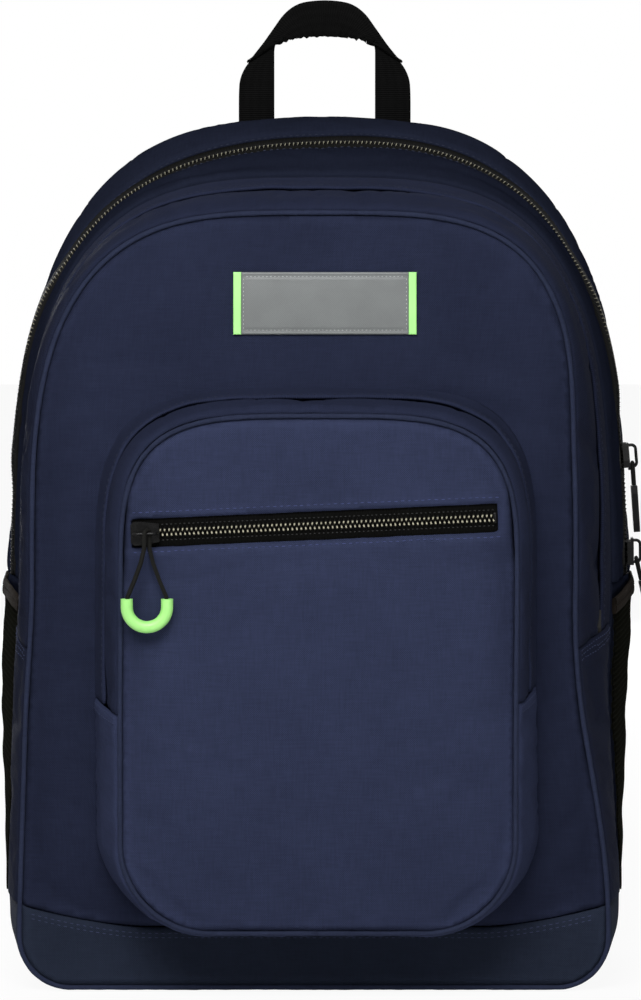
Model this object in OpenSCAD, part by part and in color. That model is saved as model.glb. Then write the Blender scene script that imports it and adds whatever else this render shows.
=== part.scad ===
// School backpack: three zipped compartments one before the other, on a padded back with two shoulder straps.
// Frame: +X to the right seen from the front, -Y to the front, +Z up, origin at the middle of the flat base.

/* [Bag] */
// Width at the widest point
body_w = 322; // [300:1:345]
// Height of the crown above the floor
body_h = 436; // [415:1:465]
// Depth of the crown's ridge behind the back seam
crown_d = 35; // [28:1:42]
// Height where the straight sides turn into the arch
arch_z = 170; // [150:1:190]
// Height of the boot's seam above the floor
boot_h = 34; // [30:1:42]
// Half width of the flat part of the base
base_flat = 122; // [112:1:126]
// Thickness of the sewn wall: cloth, foam film and lining
cloth_t = 1.8; // [1.4:0.1:2.4]
// Gap between two sewn pieces along their seam
seam_gap = 0.3; // [0.2:0.05:0.5]
// Radius of the piping
piping_r = 1.9; // [1.4:0.1:2.6]

/* [Main compartment] */
// Depth from the back seam to the front seam
main_depth = 118; // [105:1:135]
// Depth of the zip's middle from the back seam
main_zip_d = 62; // [56:1:70]
// Height where the zip ends on each side
main_zip_end = 201; // [192:1:208]
// Drop of the zip's middle below the crown
main_zip_drop = 12.5; // [9:0.5:16]
// Drop of the front seam below the crown
main_seam_drop = 28; // [22:1:34]
// Inset of the front seam on each side
main_seam_inset = 12; // [8:1:16]
// Thickness of the padded back at its middle
back_pad_t = 12; // [9:1:16]

/* [Middle compartment] */
// Depth from its back seam to its face seam
mid_depth = 46; // [42:1:56]
// Drop of the face seam below the crown
mid_seam_drop = 45; // [40:1:52]
// Inset of the face seam on each side
mid_seam_inset = 24; // [20:1:28]
// How far the face swells forward
mid_swell_y = 10; // [6:1:13]
// Distance of the hidden zip's middle from the compartment's back seam
mid_zip_d = 13; // [12:0.5:16]
// Height where the hidden zip ends on each side
mid_zip_end = 172; // [160:1:180]

/* [Front pocket] */
// Width at the pocket's back seam
pocket_w = 221; // [210:1:230]
// Height of the back seam's top above the floor
pocket_top = 305; // [298:1:312]
// Depth of the pocket's gusset
pocket_depth = 40; // [36:1:48]
// How much the face seam lies inside the back seam, on each side
pocket_draft = 11.5; // [9:0.5:14]
// Radius of the face's lower corners
pocket_corner = 46; // [38:1:56]
// How far the face swells forward
pocket_swell_y = 4; // [3:1:6]
// Distance of the hidden zip's middle from the pocket's back seam
pocket_zip_d = 12.5; // [12:0.5:15]
// Height where the hidden zip ends on each side
pocket_zip_end = 150; // [135:1:158]

/* [Zips] */
// Visible width of the tape
tape_w = 14; // [12:0.5:16]
// Thickness of the tape
tape_t = 0.7; // [0.5:0.1:0.9]
// Width over the two interlocked coils
chain_w = 6.4; // [5.6:0.2:7]
// Thickness of the coils
chain_t = 2.2; // [1.8:0.1:2.6]
// Distance from one turn of the coil to the next
coil_pitch = 2.2; // [2:0.1:2.6]
// Height of the face zip's middle
face_zip_z = 237; // [228:1:246]
// Slant of the face zip in degrees, rising to the right
face_zip_slant = 2.5; // [0:0.5:4]
// Distance of the left end of the face zip's window from the middle
face_zip_left = 93; // [84:1:94]
// and of its right end
face_zip_right = 88; // [78:1:92]
// How far the storm flap of a hidden zip reaches past the zip's middle
flap_reach = 4.5; // [4:0.5:6]
// How deep a hidden zip's tape lies under the gusset's surface
hidden_zip_sink = 7; // [6.8:0.1:8]

/* [Sliders and pulls] */
// Length of a slider's body
slider_l = 14; // [13:0.5:15]
// Width of a slider over its shoulders
slider_w = 11.6; // [11.4:0.1:13]
// Thickness of each slider plate
plate_t = 1.1; // [1:0.1:1.3]
// Clearance between a slider and what runs in it
slider_clear = 0.25; // [0.2:0.05:0.35]
// Thickness of the bail's wire
bail_wire = 1.6; // [1.3:0.1:1.8]
// Diameter of the pull cord
cord_d = 2.2; // [2:0.1:2.4]
// Diameter of the rubber grip
grip_d = 6; // [5:0.1:6.5]
// Radius of the grip's bend, at the middle of the tube
grip_bend = 9.9; // [9:0.1:12]
// Length of a side pull's moulded tab
tab_l = 24; // [20:0.5:25]
// Thickness of the tab
tab_t = 3.2; // [2.6:0.1:3.4]
// Length of the face pull from the bail to the middle of the grip's bend
pull_l = 36; // [32:1:40]
// Place of the face slider from the window's left end
face_slider_at = 7.5; // [7.5:0.5:12]
// Height of the main zip's upper slider
upper_slider_z = 262; // [256:1:268]
// Height of the main zip's lower slider
lower_slider_z = 213; // [212:0.5:214]
// Half the width of the opening between the two main sliders
zip_parting = 1.6; // [1.4:0.1:2]

/* [Badge] */
// Width of the sewn badge over its side bars
badge_w = 91; // [70:1:100]
// Height of the badge
badge_h = 31; // [24:1:36]
// Thickness of the badge's plate
badge_t = 1.6; // [1.2:0.1:2.2]
// Width of each side bar
badge_bar = 4; // [3:0.2:6]
// How far the badge's middle sits below halfway from the pocket's top to the large face's top seam
badge_drop = 3; // [0:0.5:6]

/* [Mesh pockets] */
// Height of the mesh pocket's top edge
mesh_top = 199; // [185:1:200]
// How far the mesh stands off the side at its top
mesh_stand = 7; // [5:0.5:9]
// Thickness of the mesh
mesh_t = 1; // [0.8:0.1:1.3]
// Height of the elastic binding
binding_h = 8; // [6:1:10]
// Thickness of the binding
binding_t = 1.6; // [1.4:0.1:2]

/* [Haul loop] */
// Width over the loop's two legs
loop_w = 91; // [80:1:100]
// Height of the loop above the line where it bends
loop_rise = 66; // [58:1:76]
// Width of the webbing
loop_web = 19; // [17:0.5:22]
// Thickness of the webbing
loop_t = 2.4; // [2:0.1:3]

/* [Shoulder straps] */
// Width of a shoulder pad
pad_w = 60; // [52:1:66]
// Thickness of a shoulder pad
pad_t = 9; // [7:0.5:11]
// How far a strap bows away from the back
strap_bow = 40; // [34:1:46]
// Distance of a strap's upper end from the middle
strap_top_x = 46; // [42:1:50]
// Distance of a strap's upper end below the crest
strap_top_drop = 44; // [40:1:50]
// Distance of a strap's lower end from the middle
strap_foot_x = 112; // [104:1:116]
// Height of a strap's lower end
strap_foot_z = 52; // [46:1:58]
// Width of the strap's webbing
web_w = 25; // [22:1:27]
// Thickness of the webbing
web_t = 1.6; // [1.3:0.1:1.9]

/* [Hidden] */
$fn = 32;

navy = [0.15, 0.18, 0.30];
dark_navy = [0.11, 0.13, 0.21];
black = [0.07, 0.07, 0.07];
lime = [0.62, 0.90, 0.47];
grey = [0.56, 0.58, 0.58];

// ---- Depths. A depth d counts forward from the back seam's plane.
mid_face_d = main_depth + mid_depth;
y_back = mid_face_d / 2;
y_mid = -y_back;
y_pocket = y_mid - pocket_depth;
divider_t = 1.2;
zip_edge = tape_w / 2;
mid_rear_d = main_depth + divider_t + 3.5 * seam_gap;
mid_zip_mid = main_depth + mid_zip_d;
seam_edge = piping_r + seam_gap;

function y_at(d) = y_back - d;

// ---- The shell's section at depth d: half width, crown height, arch exponent and foot.
function half_w(d) = lookup(d, [
  [0, body_w / 2 - 5],
  [crown_d, body_w / 2],
  [main_zip_d, body_w / 2 - 0.5],
  [main_depth, body_w / 2 - main_seam_inset],
  [mid_face_d, body_w / 2 - mid_seam_inset]
]);
function crown_z(d) = lookup(d, [
  [0, body_h - 7],
  [crown_d, body_h],
  [main_zip_d - zip_edge, body_h - main_zip_drop + 1.2],
  [main_zip_d + zip_edge, body_h - main_zip_drop - 1.2],
  [main_depth, body_h - main_seam_drop],
  [mid_face_d, body_h - mid_seam_drop]
]);
function foot_w(d) = lookup(d, [
  [0, body_w / 2 - 5],
  [crown_d, body_w / 2 - 1.5],
  [main_depth, body_w / 2 - main_seam_inset / 2],
  [mid_face_d, body_w / 2 - mid_seam_inset / 2]
]);
function spring_z(d) = lookup(d, [[main_depth, arch_z], [mid_face_d, arch_z + 30]]);
function arch_n(d) = lookup(d, [[main_zip_d, 3], [mid_face_d, 3.6]]);

// An outline is [half width, half width at the foot, spring height, crown, arch exponent, foot height,
// corner radius].
function shell_at(d, inset = 0) = [
  half_w(d) - inset, foot_w(d) - inset, spring_z(d), crown_z(d) - inset, arch_n(d),
  inset, foot_w(d) - base_flat - inset
];
pocket_arch_n = 3.9;
pocket_spring = 200;
function pocket_at(v, inset = 0) = [
  pocket_w / 2 - v * pocket_draft - inset, pocket_w / 2 - v * pocket_draft - inset, pocket_spring,
  pocket_top - v * (pocket_draft + 1.5) - inset, pocket_arch_n,
  boot_h + 1 - v * 2 + inset, pocket_corner + 4 * (1 - v) - inset
];

// Point of an outline; u runs anticlockwise seen from the front, 0 at the foot's middle, 4 at the crown and
// 8 at the foot again.
function mirrored(p) = [-p[0], p[1]];
function turned(u) = u < 0 ? u + 8 : u >= 8 ? u - 8 : u;
function arch_angle(v, n) = 90 * pow(v, n / 2) / (pow(v, n / 2) + pow(1 - v, n / 2));
function outline(o, u) = let (w = turned(u)) w > 4 ? mirrored(outline_half(o, 8 - w)) : outline_half(o, w);
function outline_half(o, u) =
  u <= 1 ? [(o[1] - o[6]) * u, o[5]]
  : u <= 2 ? [o[1] - o[6] + o[6] * sin(90 * (u - 1)), o[5] + o[6] - o[6] * cos(90 * (u - 1))]
  : u <= 3 ? let (v = u - 2, low = o[5] + o[6]) [mix(o[1], o[0], v * v * (3 - 2 * v)), mix(low, o[2], v)]
  : let (t = arch_angle(u - 3, o[4])) [
      o[0] * pow(max(0, cos(t)), 2 / o[4]), o[2] + (o[3] - o[2]) * pow(sin(t), 2 / o[4])
    ];
// The u of an outline's point on the right at height z.
function u_at(o, z) =
  z < o[5] + o[6] ? 1 + acos(1 - (z - o[5]) / o[6]) / 90
  : z < o[2] ? 2 + (z - o[5] - o[6]) / (o[2] - o[5] - o[6])
  : let (s = asin(pow((z - o[2]) / (o[3] - o[2]), o[4] / 2)) / 90, g = pow(s / (1 - s), 2 / o[4]))
    3 + g / (1 + g);
function mix(a, b, t) = a + (b - a) * t;
function steps(a, b, n) = [for (i = [0:n]) mix(a, b, i / n)];

// ---- Surfaces of the two swelling faces, as places in Y.
function round_measure(o, x, z) =
  z > o[2] ? pow(pow(abs(x) / o[0], o[4]) + pow((z - o[2]) / (o[3] - o[2]), o[4]), 1 / o[4])
  : let (v = (z - o[5]) / (o[2] - o[5])) pow(pow(abs(x) / mix(o[1], o[0], v), 8) + pow(1 - v, 8), 1 / 8);
function swell(o, x, z, p) = max(0, 1 - pow(round_measure(o, x, z), p));
// Where a face ends inside its piping; the piping's own steps need a little more than the seam's gap.
face_edge = 2 * piping_r + seam_gap + 0.6;
mid_outline = shell_at(mid_face_d, face_edge);
mid_panel = [for (i = [0:6]) i == 5 ? boot_h : mid_outline[i]];
function mid_y(x, z) = y_mid - mid_swell_y * swell(mid_panel, x, max(z, boot_h), 2.5);
pocket_panel = pocket_at(1, face_edge);
function pocket_y(x, z) = y_pocket - pocket_swell_y * swell(pocket_panel, x, z, 6);

// ---- Closed solids from grids of points.
function flat(grid) = [for (row = grid) for (p = row) p];
function quad(a, b, c, d) = [[a, b, c], [a, c, d]];
function unit(v) = v / norm(v);
function grid_normal(g, i, j) =
  let (n = len(g) - 1, m = len(g[0]) - 1,
    di = g[min(i + 1, n)][j] - g[max(i - 1, 0)][j],
    dj = g[i][min(j + 1, m)] - g[i][max(j - 1, 0)])
  unit(cross(di, dj));
function set_in(g, t) = [for (i = [0:len(g) - 1])
  [for (j = [0:len(g[0]) - 1]) g[i][j] - t * grid_normal(g, i, j)]];

// Sheet of thickness t under an open grid; rows run anticlockwise seen from outside the bag's front.
module sheet(g, t) {
  n = len(g);
  m = len(g[0]);
  k = n * m;
  q = [for (i = [0:n - 2]) for (j = [0:m - 2]) let (k = i * m + j) [k, k + 1, k + m + 1, k + m]];
  faces = concat(
    [for (f = q) each quad(f[0], f[1], f[2], f[3])],
    [for (f = q) each quad(k + f[3], k + f[2], k + f[1], k + f[0])],
    [for (i = [0:n - 2]) each quad(i * m, (i + 1) * m, k + (i + 1) * m, k + i * m)],
    [for (i = [0:n - 2]) let (a = i * m + m - 1) each quad(a, k + a, k + a + m, a + m)],
    [for (j = [0:m - 2]) each quad(j, k + j, k + j + 1, j + 1)],
    [for (j = [0:m - 2]) let (a = (n - 1) * m + j) each quad(a, a + 1, k + a + 1, k + a)]
  );
  polyhedron(concat(flat(g), flat(set_in(g, t))), faces);
}

// Dished panel: outer rings from the middle to the edge, and the same rings at the back.
module dished(outer, inner, mid_out, mid_in) {
  n = len(outer);
  m = len(outer[0]);
  k = n * m;
  function nxt(j) = (j + 1) % m;
  faces = concat(
    [for (i = [0:n - 2]) for (j = [0:m - 1])
      each quad(i * m + j, i * m + nxt(j), (i + 1) * m + nxt(j), (i + 1) * m + j)],
    [for (i = [0:n - 2]) for (j = [0:m - 1])
      each quad(k + (i + 1) * m + j, k + (i + 1) * m + nxt(j), k + i * m + nxt(j), k + i * m + j)],
    [for (j = [0:m - 1]) let (a = (n - 1) * m) each quad(a + j, a + nxt(j), k + a + nxt(j), k + a + j)],
    [for (j = [0:m - 1]) [2 * k, nxt(j), j]],
    [for (j = [0:m - 1]) [2 * k + 1, k + j, k + nxt(j)]]
  );
  polyhedron(concat(flat(outer), flat(inner), [mid_out, mid_in]), faces);
}

// Solid swept along a path. The section's first axis follows wide, its second the path's own normal.
function path_frame(path, i, wide, closed) =
  let (n = len(path),
    a = path[closed ? (i + n - 1) % n : max(i - 1, 0)],
    b = path[closed ? (i + 1) % n : min(i + 1, n - 1)],
    t = unit(b - a), w = unit(wide - (wide * t) * t))
  [w, cross(t, w)];
module sweep(path, sections, wide, closed = false) {
  n = len(path);
  m = len(sections[0]);
  rings = [for (i = [0:n - 1]) let (f = path_frame(path, i, wide, closed))
    [for (s = sections[min(i, len(sections) - 1)]) path[i] + s[0] * f[0] + s[1] * f[1]]];
  last = closed ? n - 1 : n - 2;
  sides = [for (i = [0:last]) for (j = [0:m - 1])
    let (a = i * m, b = ((i + 1) % n) * m, k = (j + 1) % m) each quad(a + j, b + j, b + k, a + k)];
  caps = [[for (j = [0:m - 1]) j], [for (j = [m - 1:-1:0]) (n - 1) * m + j]];
  polyhedron(flat(rings), closed ? sides : concat(sides, caps));
}
function round_section(r, n) = [for (k = [0:n - 1]) r * [cos(360 * k / n), sin(360 * k / n)]];
function flat_section(w, t) = [
  for (p = [[0.5, -0.25], [0.5, 0.25], [0.4, 0.5], [-0.4, 0.5], [-0.5, 0.25], [-0.5, -0.25], [-0.4, -0.5],
    [0.4, -0.5]])
  [p[0] * w, p[1] * t]
];

// ---- Strips of the shell between two depths, round part of its outline.
arch_steps = 36;
function shell_point(d, u, inset) = let (p = outline(shell_at(d, inset), u)) [p[0], y_back - d, p[1]];
function over_top(depths, z_end, inset = 0) = [
  for (i = [0:arch_steps]) [
    for (d = depths) let (u = u_at(shell_at(d, inset), z_end))
      shell_point(d, mix(u, 8 - u, i / arch_steps), inset)
  ]
];
function up_side(depths, z_low, z_high, n, inset = 0) = [
  for (i = [0:n]) [
    for (d = depths)
    let (o = shell_at(d, inset)) shell_point(d, mix(u_at(o, z_low), u_at(o, z_high), i / n), inset)
  ]
];
module both_sides() {
  children();
  mirror([1, 0, 0]) children();
}

// ==== Main compartment ====
rear_depths = [0, 12, 24, crown_d, mix(crown_d, main_zip_d - zip_edge, 0.5), main_zip_d - zip_edge];
front_depths = steps(main_zip_d + zip_edge, main_depth, 2);
side_depths = [0, crown_d / 2, crown_d, main_zip_d, mix(main_zip_d, main_depth, 0.5), main_depth];

module main_gusset_rear() color(dark_navy) sheet(over_top(rear_depths, main_zip_end + seam_gap), cloth_t);
module main_gusset_front() color(dark_navy) sheet(over_top(front_depths, main_zip_end + seam_gap), cloth_t);
module side_panels() color(dark_navy) both_sides()
  sheet(up_side(side_depths, boot_h + 2 * seam_gap, main_zip_end, 6), cloth_t);

// The padded back fits inside the gusset's rear edge.
back_edge = cloth_t + seam_gap;
module back_panel() {
  o = shell_at(0, back_edge);
  loop = [for (u = steps(0, 8, 48)) if (u < 8) outline(o, u)];
  middle = [0, body_h / 2];
  rings = [0.2, 0.45, 0.7, 0.86, 0.95, 1];
  function pad(r) = 1 - pow(r, 3);
  function back_y(r) = y_back + back_pad_t * 0.25 * pad(r);
  function inner_y(r) = y_back - 3 - (back_pad_t * 0.75 - 3) * pad(r);
  function ring(r, y) = [for (p = loop) let (q = mix(middle, p, r)) [-q[0], y, q[1]]];
  color(dark_navy) dished([for (r = rings) ring(r, back_y(r))], [for (r = rings) ring(r, inner_y(r))],
    [0, back_y(0), middle[1]], [0, inner_y(0), middle[1]]);
}

// Lining wall between the main and the middle compartment, its edge caught in the seam.
module main_divider() color(dark_navy) {
  o = shell_at(main_depth, 0);
  inner = shell_at(main_depth, cloth_t + 2 * seam_gap);
  translate([0, y_back - main_depth - seam_gap, 0]) rotate([90, 0, 0])
    linear_extrude(divider_t) intersection() {
      polygon([for (u = steps(0, 8, 72)) if (u < 8) outline(o, u)]);
      union() {
        polygon([for (u = steps(0, 8, 72)) if (u < 8) outline(inner, u)]);
        translate([-body_w, boot_h + 2 * seam_gap]) square([2 * body_w, body_h]);
      }
    }
}

// Flat base with the two rounded corner pieces that rise to the boot's seam.
base_front_d = mid_face_d - seam_edge;
module base_panel() color(dark_navy) {
  depths = [0, crown_d / 2, crown_d, main_zip_d, main_depth, base_front_d];
  translate([-base_flat, y_back - base_front_d, 0]) cube([2 * base_flat, base_front_d, cloth_t]);
  both_sides() sheet([for (i = [0:6]) [
    for (d = depths) let (u = u_at(shell_at(d), boot_h)) shell_point(d, mix(1, u, i / 6), 0)]], cloth_t);
}
// Front of the boot, under the middle compartment's face.
module boot() color(dark_navy) {
  n = 24;
  o = mid_outline;
  u_top = u_at(o, boot_h - seam_gap);
  // Lower edge from the left to the right, then the seam above it.
  low = [for (u = steps(-u_top + 0.06, u_top - 0.06, n)) outline(o, u)];
  w_top = outline(o, u_top)[0];
  g = [for (i = [0:n]) let (top = [mix(-w_top, w_top, i / n), boot_h - seam_gap])
    [for (v = [0, 0.5, 1]) let (p = mix(low[i], top, v)) [p[0], y_mid - 0.8 * sin(180 * v), p[1]]]];
  sheet(g, cloth_t);
}

// A zip's tape lies flat across: each half keeps the outline of the zip's own depth.
function flat_band(o, y_list, z_end) = [
  for (i = [0:arch_steps]) let (u = u_at(o, z_end), p = outline(o, mix(u, 8 - u, i / arch_steps)))
  [for (y = y_list) [p[0], y, p[1]]]
];
module zip_tape(o, y, z_end, rear_w) {
  sheet(flat_band(o, [y + rear_w, y + tape_split], z_end), tape_t);
  sheet(flat_band(o, [y - tape_split, y - zip_edge + 2 * seam_gap], z_end), tape_t);
}
// Places along a zip's chain, over the top from a height on the right to the zip's left end, at the tape's
// own steps.
function chain_us(o, z_start, z_end) =
  let (u0 = u_at(o, z_end), a = u_at(o, z_start))
  concat([a], [for (i = [1:arch_steps - 1]) let (u = mix(u0, 8 - u0, i / arch_steps)) if (u > a + 0.03) u],
    [8 - u_at(o, z_end + 1)]);
function chain_line(o, y, z_start, z_end) = [for (u = chain_us(o, z_start, z_end)) let (p = outline(o, u))
  [p[0], y, p[1]]];

// ---- Main zip: tape, and a chain that parts between its two sliders.
tape_sink = 0.5;
main_tape_in = tape_sink + chain_t / 2;
tape_split = 1.3;
y_main_zip = y_at(main_zip_d);
module main_zip_tape() color(black)
  zip_tape(shell_at(main_zip_d, main_tape_in), y_main_zip, main_zip_end + seam_gap, zip_edge - 2 * seam_gap);
bead_edge = 0.8;
function bead(w, t) = let (a = w / 2, b = w / 2 - bead_edge)
  [[a, 0], [b, t / 2], [-b, t / 2], [-a, 0], [-b, -t / 2], [b, -t / 2]];
chain_gap = 0.2;
chain_in = main_tape_in - chain_t / 2 - chain_gap;
module main_zip_chain() color(black) {
  o = shell_at(main_zip_d, chain_in);
  across = [0, -1, 0];
  sweep(chain_line(o, y_main_zip, upper_slider_z + 1, main_zip_end), [bead(chain_w, chain_t)], across);
  sweep([for (z = steps(main_zip_end + 1, lower_slider_z - 1, 2)) [outline(o, u_at(o, z))[0], y_main_zip, z]],
    [bead(chain_w, chain_t)], across);
  // The two rows between the sliders.
  row_w = chain_w / 2 - 0.15;
  z_list = [lower_slider_z - 0.7, lower_slider_z + 2.6, lower_slider_z + 8, upper_slider_z - 8,
    upper_slider_z - 2.6, upper_slider_z + 0.7];
  parts = [0.15, zip_parting - 0.2, zip_parting, zip_parting, zip_parting - 0.2, 0.15];
  for (side = [-1, 1])
    sweep([for (i = [0:5]) let (p = outline(o, u_at(o, z_list[i])))
      [p[0], y_main_zip - side * (parts[i] + row_w / 2), p[1]]], [bead(row_w, chain_t)], across);
}

// ==== Middle compartment ====
flap_d = mid_zip_mid + flap_reach;
module middle_flap() color(navy) {
  depths = [mid_rear_d, mid_zip_mid, flap_d];
  sheet(over_top(depths, mid_zip_end + seam_gap), cloth_t);
}
y_mid_zip = y_at(mid_zip_mid);
module middle_zip_tape() color(black)
  zip_tape(shell_at(mid_zip_mid, hidden_zip_sink), y_mid_zip, mid_zip_end + seam_gap,
    mid_zip_mid - mid_rear_d - seam_gap);
hidden_chain_in = hidden_zip_sink - chain_t / 2 - chain_gap;
mid_slider_z = mid_zip_end + slider_l / 2 + 3;
module middle_zip_chain() color(black)
  sweep(chain_line(shell_at(mid_zip_mid, hidden_chain_in), y_mid_zip, mid_slider_z + 1, mid_zip_end),
    [bead(chain_w, chain_t)], [0, -1, 0]);
// The gusset before the zip rises from the tape's level to the shell's surface.
module middle_gusset() color(navy) {
  rise_d = mid_zip_mid + zip_edge + seam_gap;
  depths = [rise_d, mix(rise_d, mid_face_d, 0.3), mix(rise_d, mid_face_d, 0.65), mid_face_d - seam_edge];
  insets = [hidden_zip_sink - cloth_t, 1, 0, 0];
  sheet([for (i = [0:arch_steps]) [for (j = [0:3])
    let (u = u_at(shell_at(depths[j], insets[j]), mid_zip_end + seam_gap))
    shell_point(depths[j], mix(u, 8 - u, i / arch_steps), insets[j])]], cloth_t);
}
module middle_side_panels() color(navy) both_sides()
  sheet(up_side(steps(mid_rear_d, mid_face_d - seam_edge, 2), boot_h + seam_gap, mid_zip_end, 5), cloth_t);

module middle_piping() color(navy) {
  o = shell_at(mid_face_d, piping_r);
  sweep([for (u = steps(0, 8, 72)) if (u < 8) let (p = outline(o, u)) [p[0], y_mid, p[1]]],
    [round_section(piping_r, 6)], [0, -1, 0], true);
}
module middle_face() {
  o = mid_outline;
  a = u_at(o, boot_h + seam_gap);
  arch = [for (u = steps(a, 8 - a, 38)) outline(o, u)];
  foot = [for (t = [1:7]) mix(arch[38], arch[0], t / 8)];
  loop = concat(arch, foot);
  middle = [0, mix(boot_h, crown_z(mid_face_d), 0.5)];
  function ring(r, t) = [for (p = loop) let (q = mix(middle, p, r)) [q[0], mid_y(q[0], q[1]) + t, q[1]]];
  rings = [0.25, 0.5, 0.7, 0.85, 0.94, 1];
  top = mid_y(middle[0], middle[1]);
  color(navy) dished([for (r = rings) ring(r, 0)], [for (r = rings) ring(r, cloth_t)],
    [middle[0], top, middle[1]], [middle[0], top + cloth_t, middle[1]]);
}

// ==== Front pocket ====
// Point of the pocket's gusset: v runs from the back seam, which follows the middle face, to the face seam.
function pocket_point(v, u, inset = 0) =
  let (p = outline(pocket_at(v, inset), u), back = outline(pocket_at(0), u),
    y0 = mid_y(back[0], back[1]) - 3 * seam_gap)
  [p[0], mix(y0, y_pocket, v), p[1]];
function over_pocket(vs, insets, n) = [
  for (i = [0:n]) [
    for (j = [0:len(vs) - 1])
    let (u = u_at(pocket_at(vs[j], insets[j]), pocket_zip_end + seam_gap))
    pocket_point(vs[j], mix(u, 8 - u, i / n), insets[j])
  ]
];
pocket_front_v = 1 - seam_edge / pocket_depth;
pocket_zip_v = pocket_zip_d / pocket_depth;
pocket_flap_v = (pocket_zip_d + flap_reach) / pocket_depth;
pocket_steps = 28;
module pocket_flap() color(navy)
  sheet(over_pocket([0, pocket_zip_v, pocket_flap_v], [0, 0, 0], pocket_steps), cloth_t);
// The pocket's tape lies flat across too, at the place in Y of its zip's middle.
function pocket_band(y_list) = [
  for (i = [0:pocket_steps])
  let (u = u_at(pocket_at(pocket_zip_v, hidden_zip_sink), pocket_zip_end + seam_gap),
    p = pocket_point(pocket_zip_v, mix(u, 8 - u, i / pocket_steps), hidden_zip_sink))
  [for (y = y_list) [p[0], p[1] + y, p[2]]]
];
module pocket_zip_tape() color(black) {
  sheet(pocket_band([zip_edge, tape_split]), tape_t);
  sheet(pocket_band([-tape_split, 2 * seam_gap - zip_edge]), tape_t);
}
pocket_slider_z = pocket_zip_end + slider_l / 2 + 3;
function pocket_zip_point(u) = pocket_point(pocket_zip_v, u, hidden_chain_in);
module pocket_zip_chain() color(black) {
  o = pocket_at(pocket_zip_v, hidden_chain_in);
  u0 = u_at(o, pocket_zip_end + seam_gap);
  right = u_at(o, pocket_slider_z + 1);
  us = concat([right],
    [for (i = [1:pocket_steps - 1]) let (u = mix(u0, 8 - u0, i / pocket_steps)) if (u > right + 0.03) u],
    [8 - u_at(o, pocket_zip_end + 1)]);
  sweep([for (u = us) pocket_zip_point(u)], [bead(chain_w, chain_t)], [0, -1, 0]);
}
// The gusset before the zip starts beside the tape and rises to the pocket's surface.
module pocket_gusset() color(navy) {
  v0 = pocket_zip_v + zip_edge / pocket_depth;
  shares = [0, 0.35, 0.7, 1];
  insets = [hidden_zip_sink - cloth_t, 1, 0, 0];
  y_end = y_pocket + seam_edge;
  sheet([for (i = [0:pocket_steps]) [for (j = [0:3])
    let (o = pocket_at(mix(v0, 1, shares[j]), insets[j]), u0 = u_at(o, pocket_zip_end + seam_gap),
      u = mix(u0, 8 - u0, i / pocket_steps), p = outline(o, u))
    [p[0], mix(pocket_zip_point(u)[1] - zip_edge, y_end, shares[j]), p[1]]]], cloth_t);
}
module pocket_gusset_lower() color(navy) {
  vs = [0, 0.5, pocket_front_v];
  n = 28;
  sheet([for (i = [0:n]) [for (v = vs) let (u = u_at(pocket_at(v), pocket_zip_end))
    pocket_point(v, mix(-u, u, i / n))]], cloth_t);
}
module pocket_piping() color(navy) {
  o = pocket_at(1, piping_r);
  sweep([for (u = steps(0, 8, 56)) if (u < 8) let (p = outline(o, u)) [p[0], y_pocket, p[1]]],
    [round_section(piping_r, 6)], [0, -1, 0], true);
}
// Plane of the face zip, turned to its slant: x along the zip, z across it, the surface at y = 0.
zip_y = pocket_y(0, face_zip_z);
module on_face_zip() translate([0, zip_y, face_zip_z]) rotate([0, -face_zip_slant, 0]) children();
module pocket_face() {
  o = pocket_panel;
  loop = [for (u = steps(0, 8, 44)) if (u < 8) outline(o, u)];
  middle = [0, mix(boot_h, pocket_top, 0.5)];
  function ring(r, t) = [for (p = loop) let (q = mix(middle, p, r)) [q[0], pocket_y(q[0], q[1]) + t, q[1]]];
  rings = [0.25, 0.5, 0.72, 0.88, 0.96, 1];
  top = pocket_y(middle[0], middle[1]);
  color(navy) difference() {
    dished([for (r = rings) ring(r, 0)], [for (r = rings) ring(r, cloth_t)],
      [middle[0], top, middle[1]], [middle[0], top + cloth_t, middle[1]]);
    on_face_zip() translate([-face_zip_left, -20, -zip_edge])
      cube([face_zip_left + face_zip_right, 40, tape_w]);
  }
}

// ---- Face zip: two flat tapes in the window and two rows of coil.
// The chain's middle plane lies zip_sink behind the face's surface.
zip_sink = 0.6;
module face_zip_tape() color(black) on_face_zip() {
  w = zip_edge - seam_gap - tape_split;
  l = face_zip_left + face_zip_right - 2 * seam_gap;
  for (side = [-1, 1])
    translate([seam_gap - face_zip_left, zip_sink + chain_t / 2, side * (tape_split + w / 2) - w / 2])
      cube([l, tape_t, w]);
}
// One row: turns of the coil stand from its cord to the middle, between the other row's turns.
module coil_row(x0, x1, phase) {
  reach = 0.55;
  half = coil_pitch * 0.21;
  n = floor((x1 - x0 - coil_pitch) / coil_pitch);
  turns = [for (k = [0:n - 1]) let (c = x0 + coil_pitch * (k + 0.5 + phase)) each [
    [c - half - 0.1, 0.9], [c - half, -reach], [c + half, -reach], [c + half + 0.1, 0.9]]];
  polygon(concat(turns, [[x1, 0.9], [x1, chain_w / 2], [x0, chain_w / 2], [x0, 0.9]]));
}
module face_zip_coils() color(black) on_face_zip() {
  x0 = -face_zip_left + face_slider_at + 0.8;
  x1 = face_zip_right - 3;
  translate([0, zip_sink + chain_t / 2 - 0.05, 0]) rotate([90, 0, 0]) linear_extrude(chain_t - 0.05) {
    coil_row(x0, x1, 0);
    mirror([0, 1]) coil_row(x0, x1, 0.5);
  }
}

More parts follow.
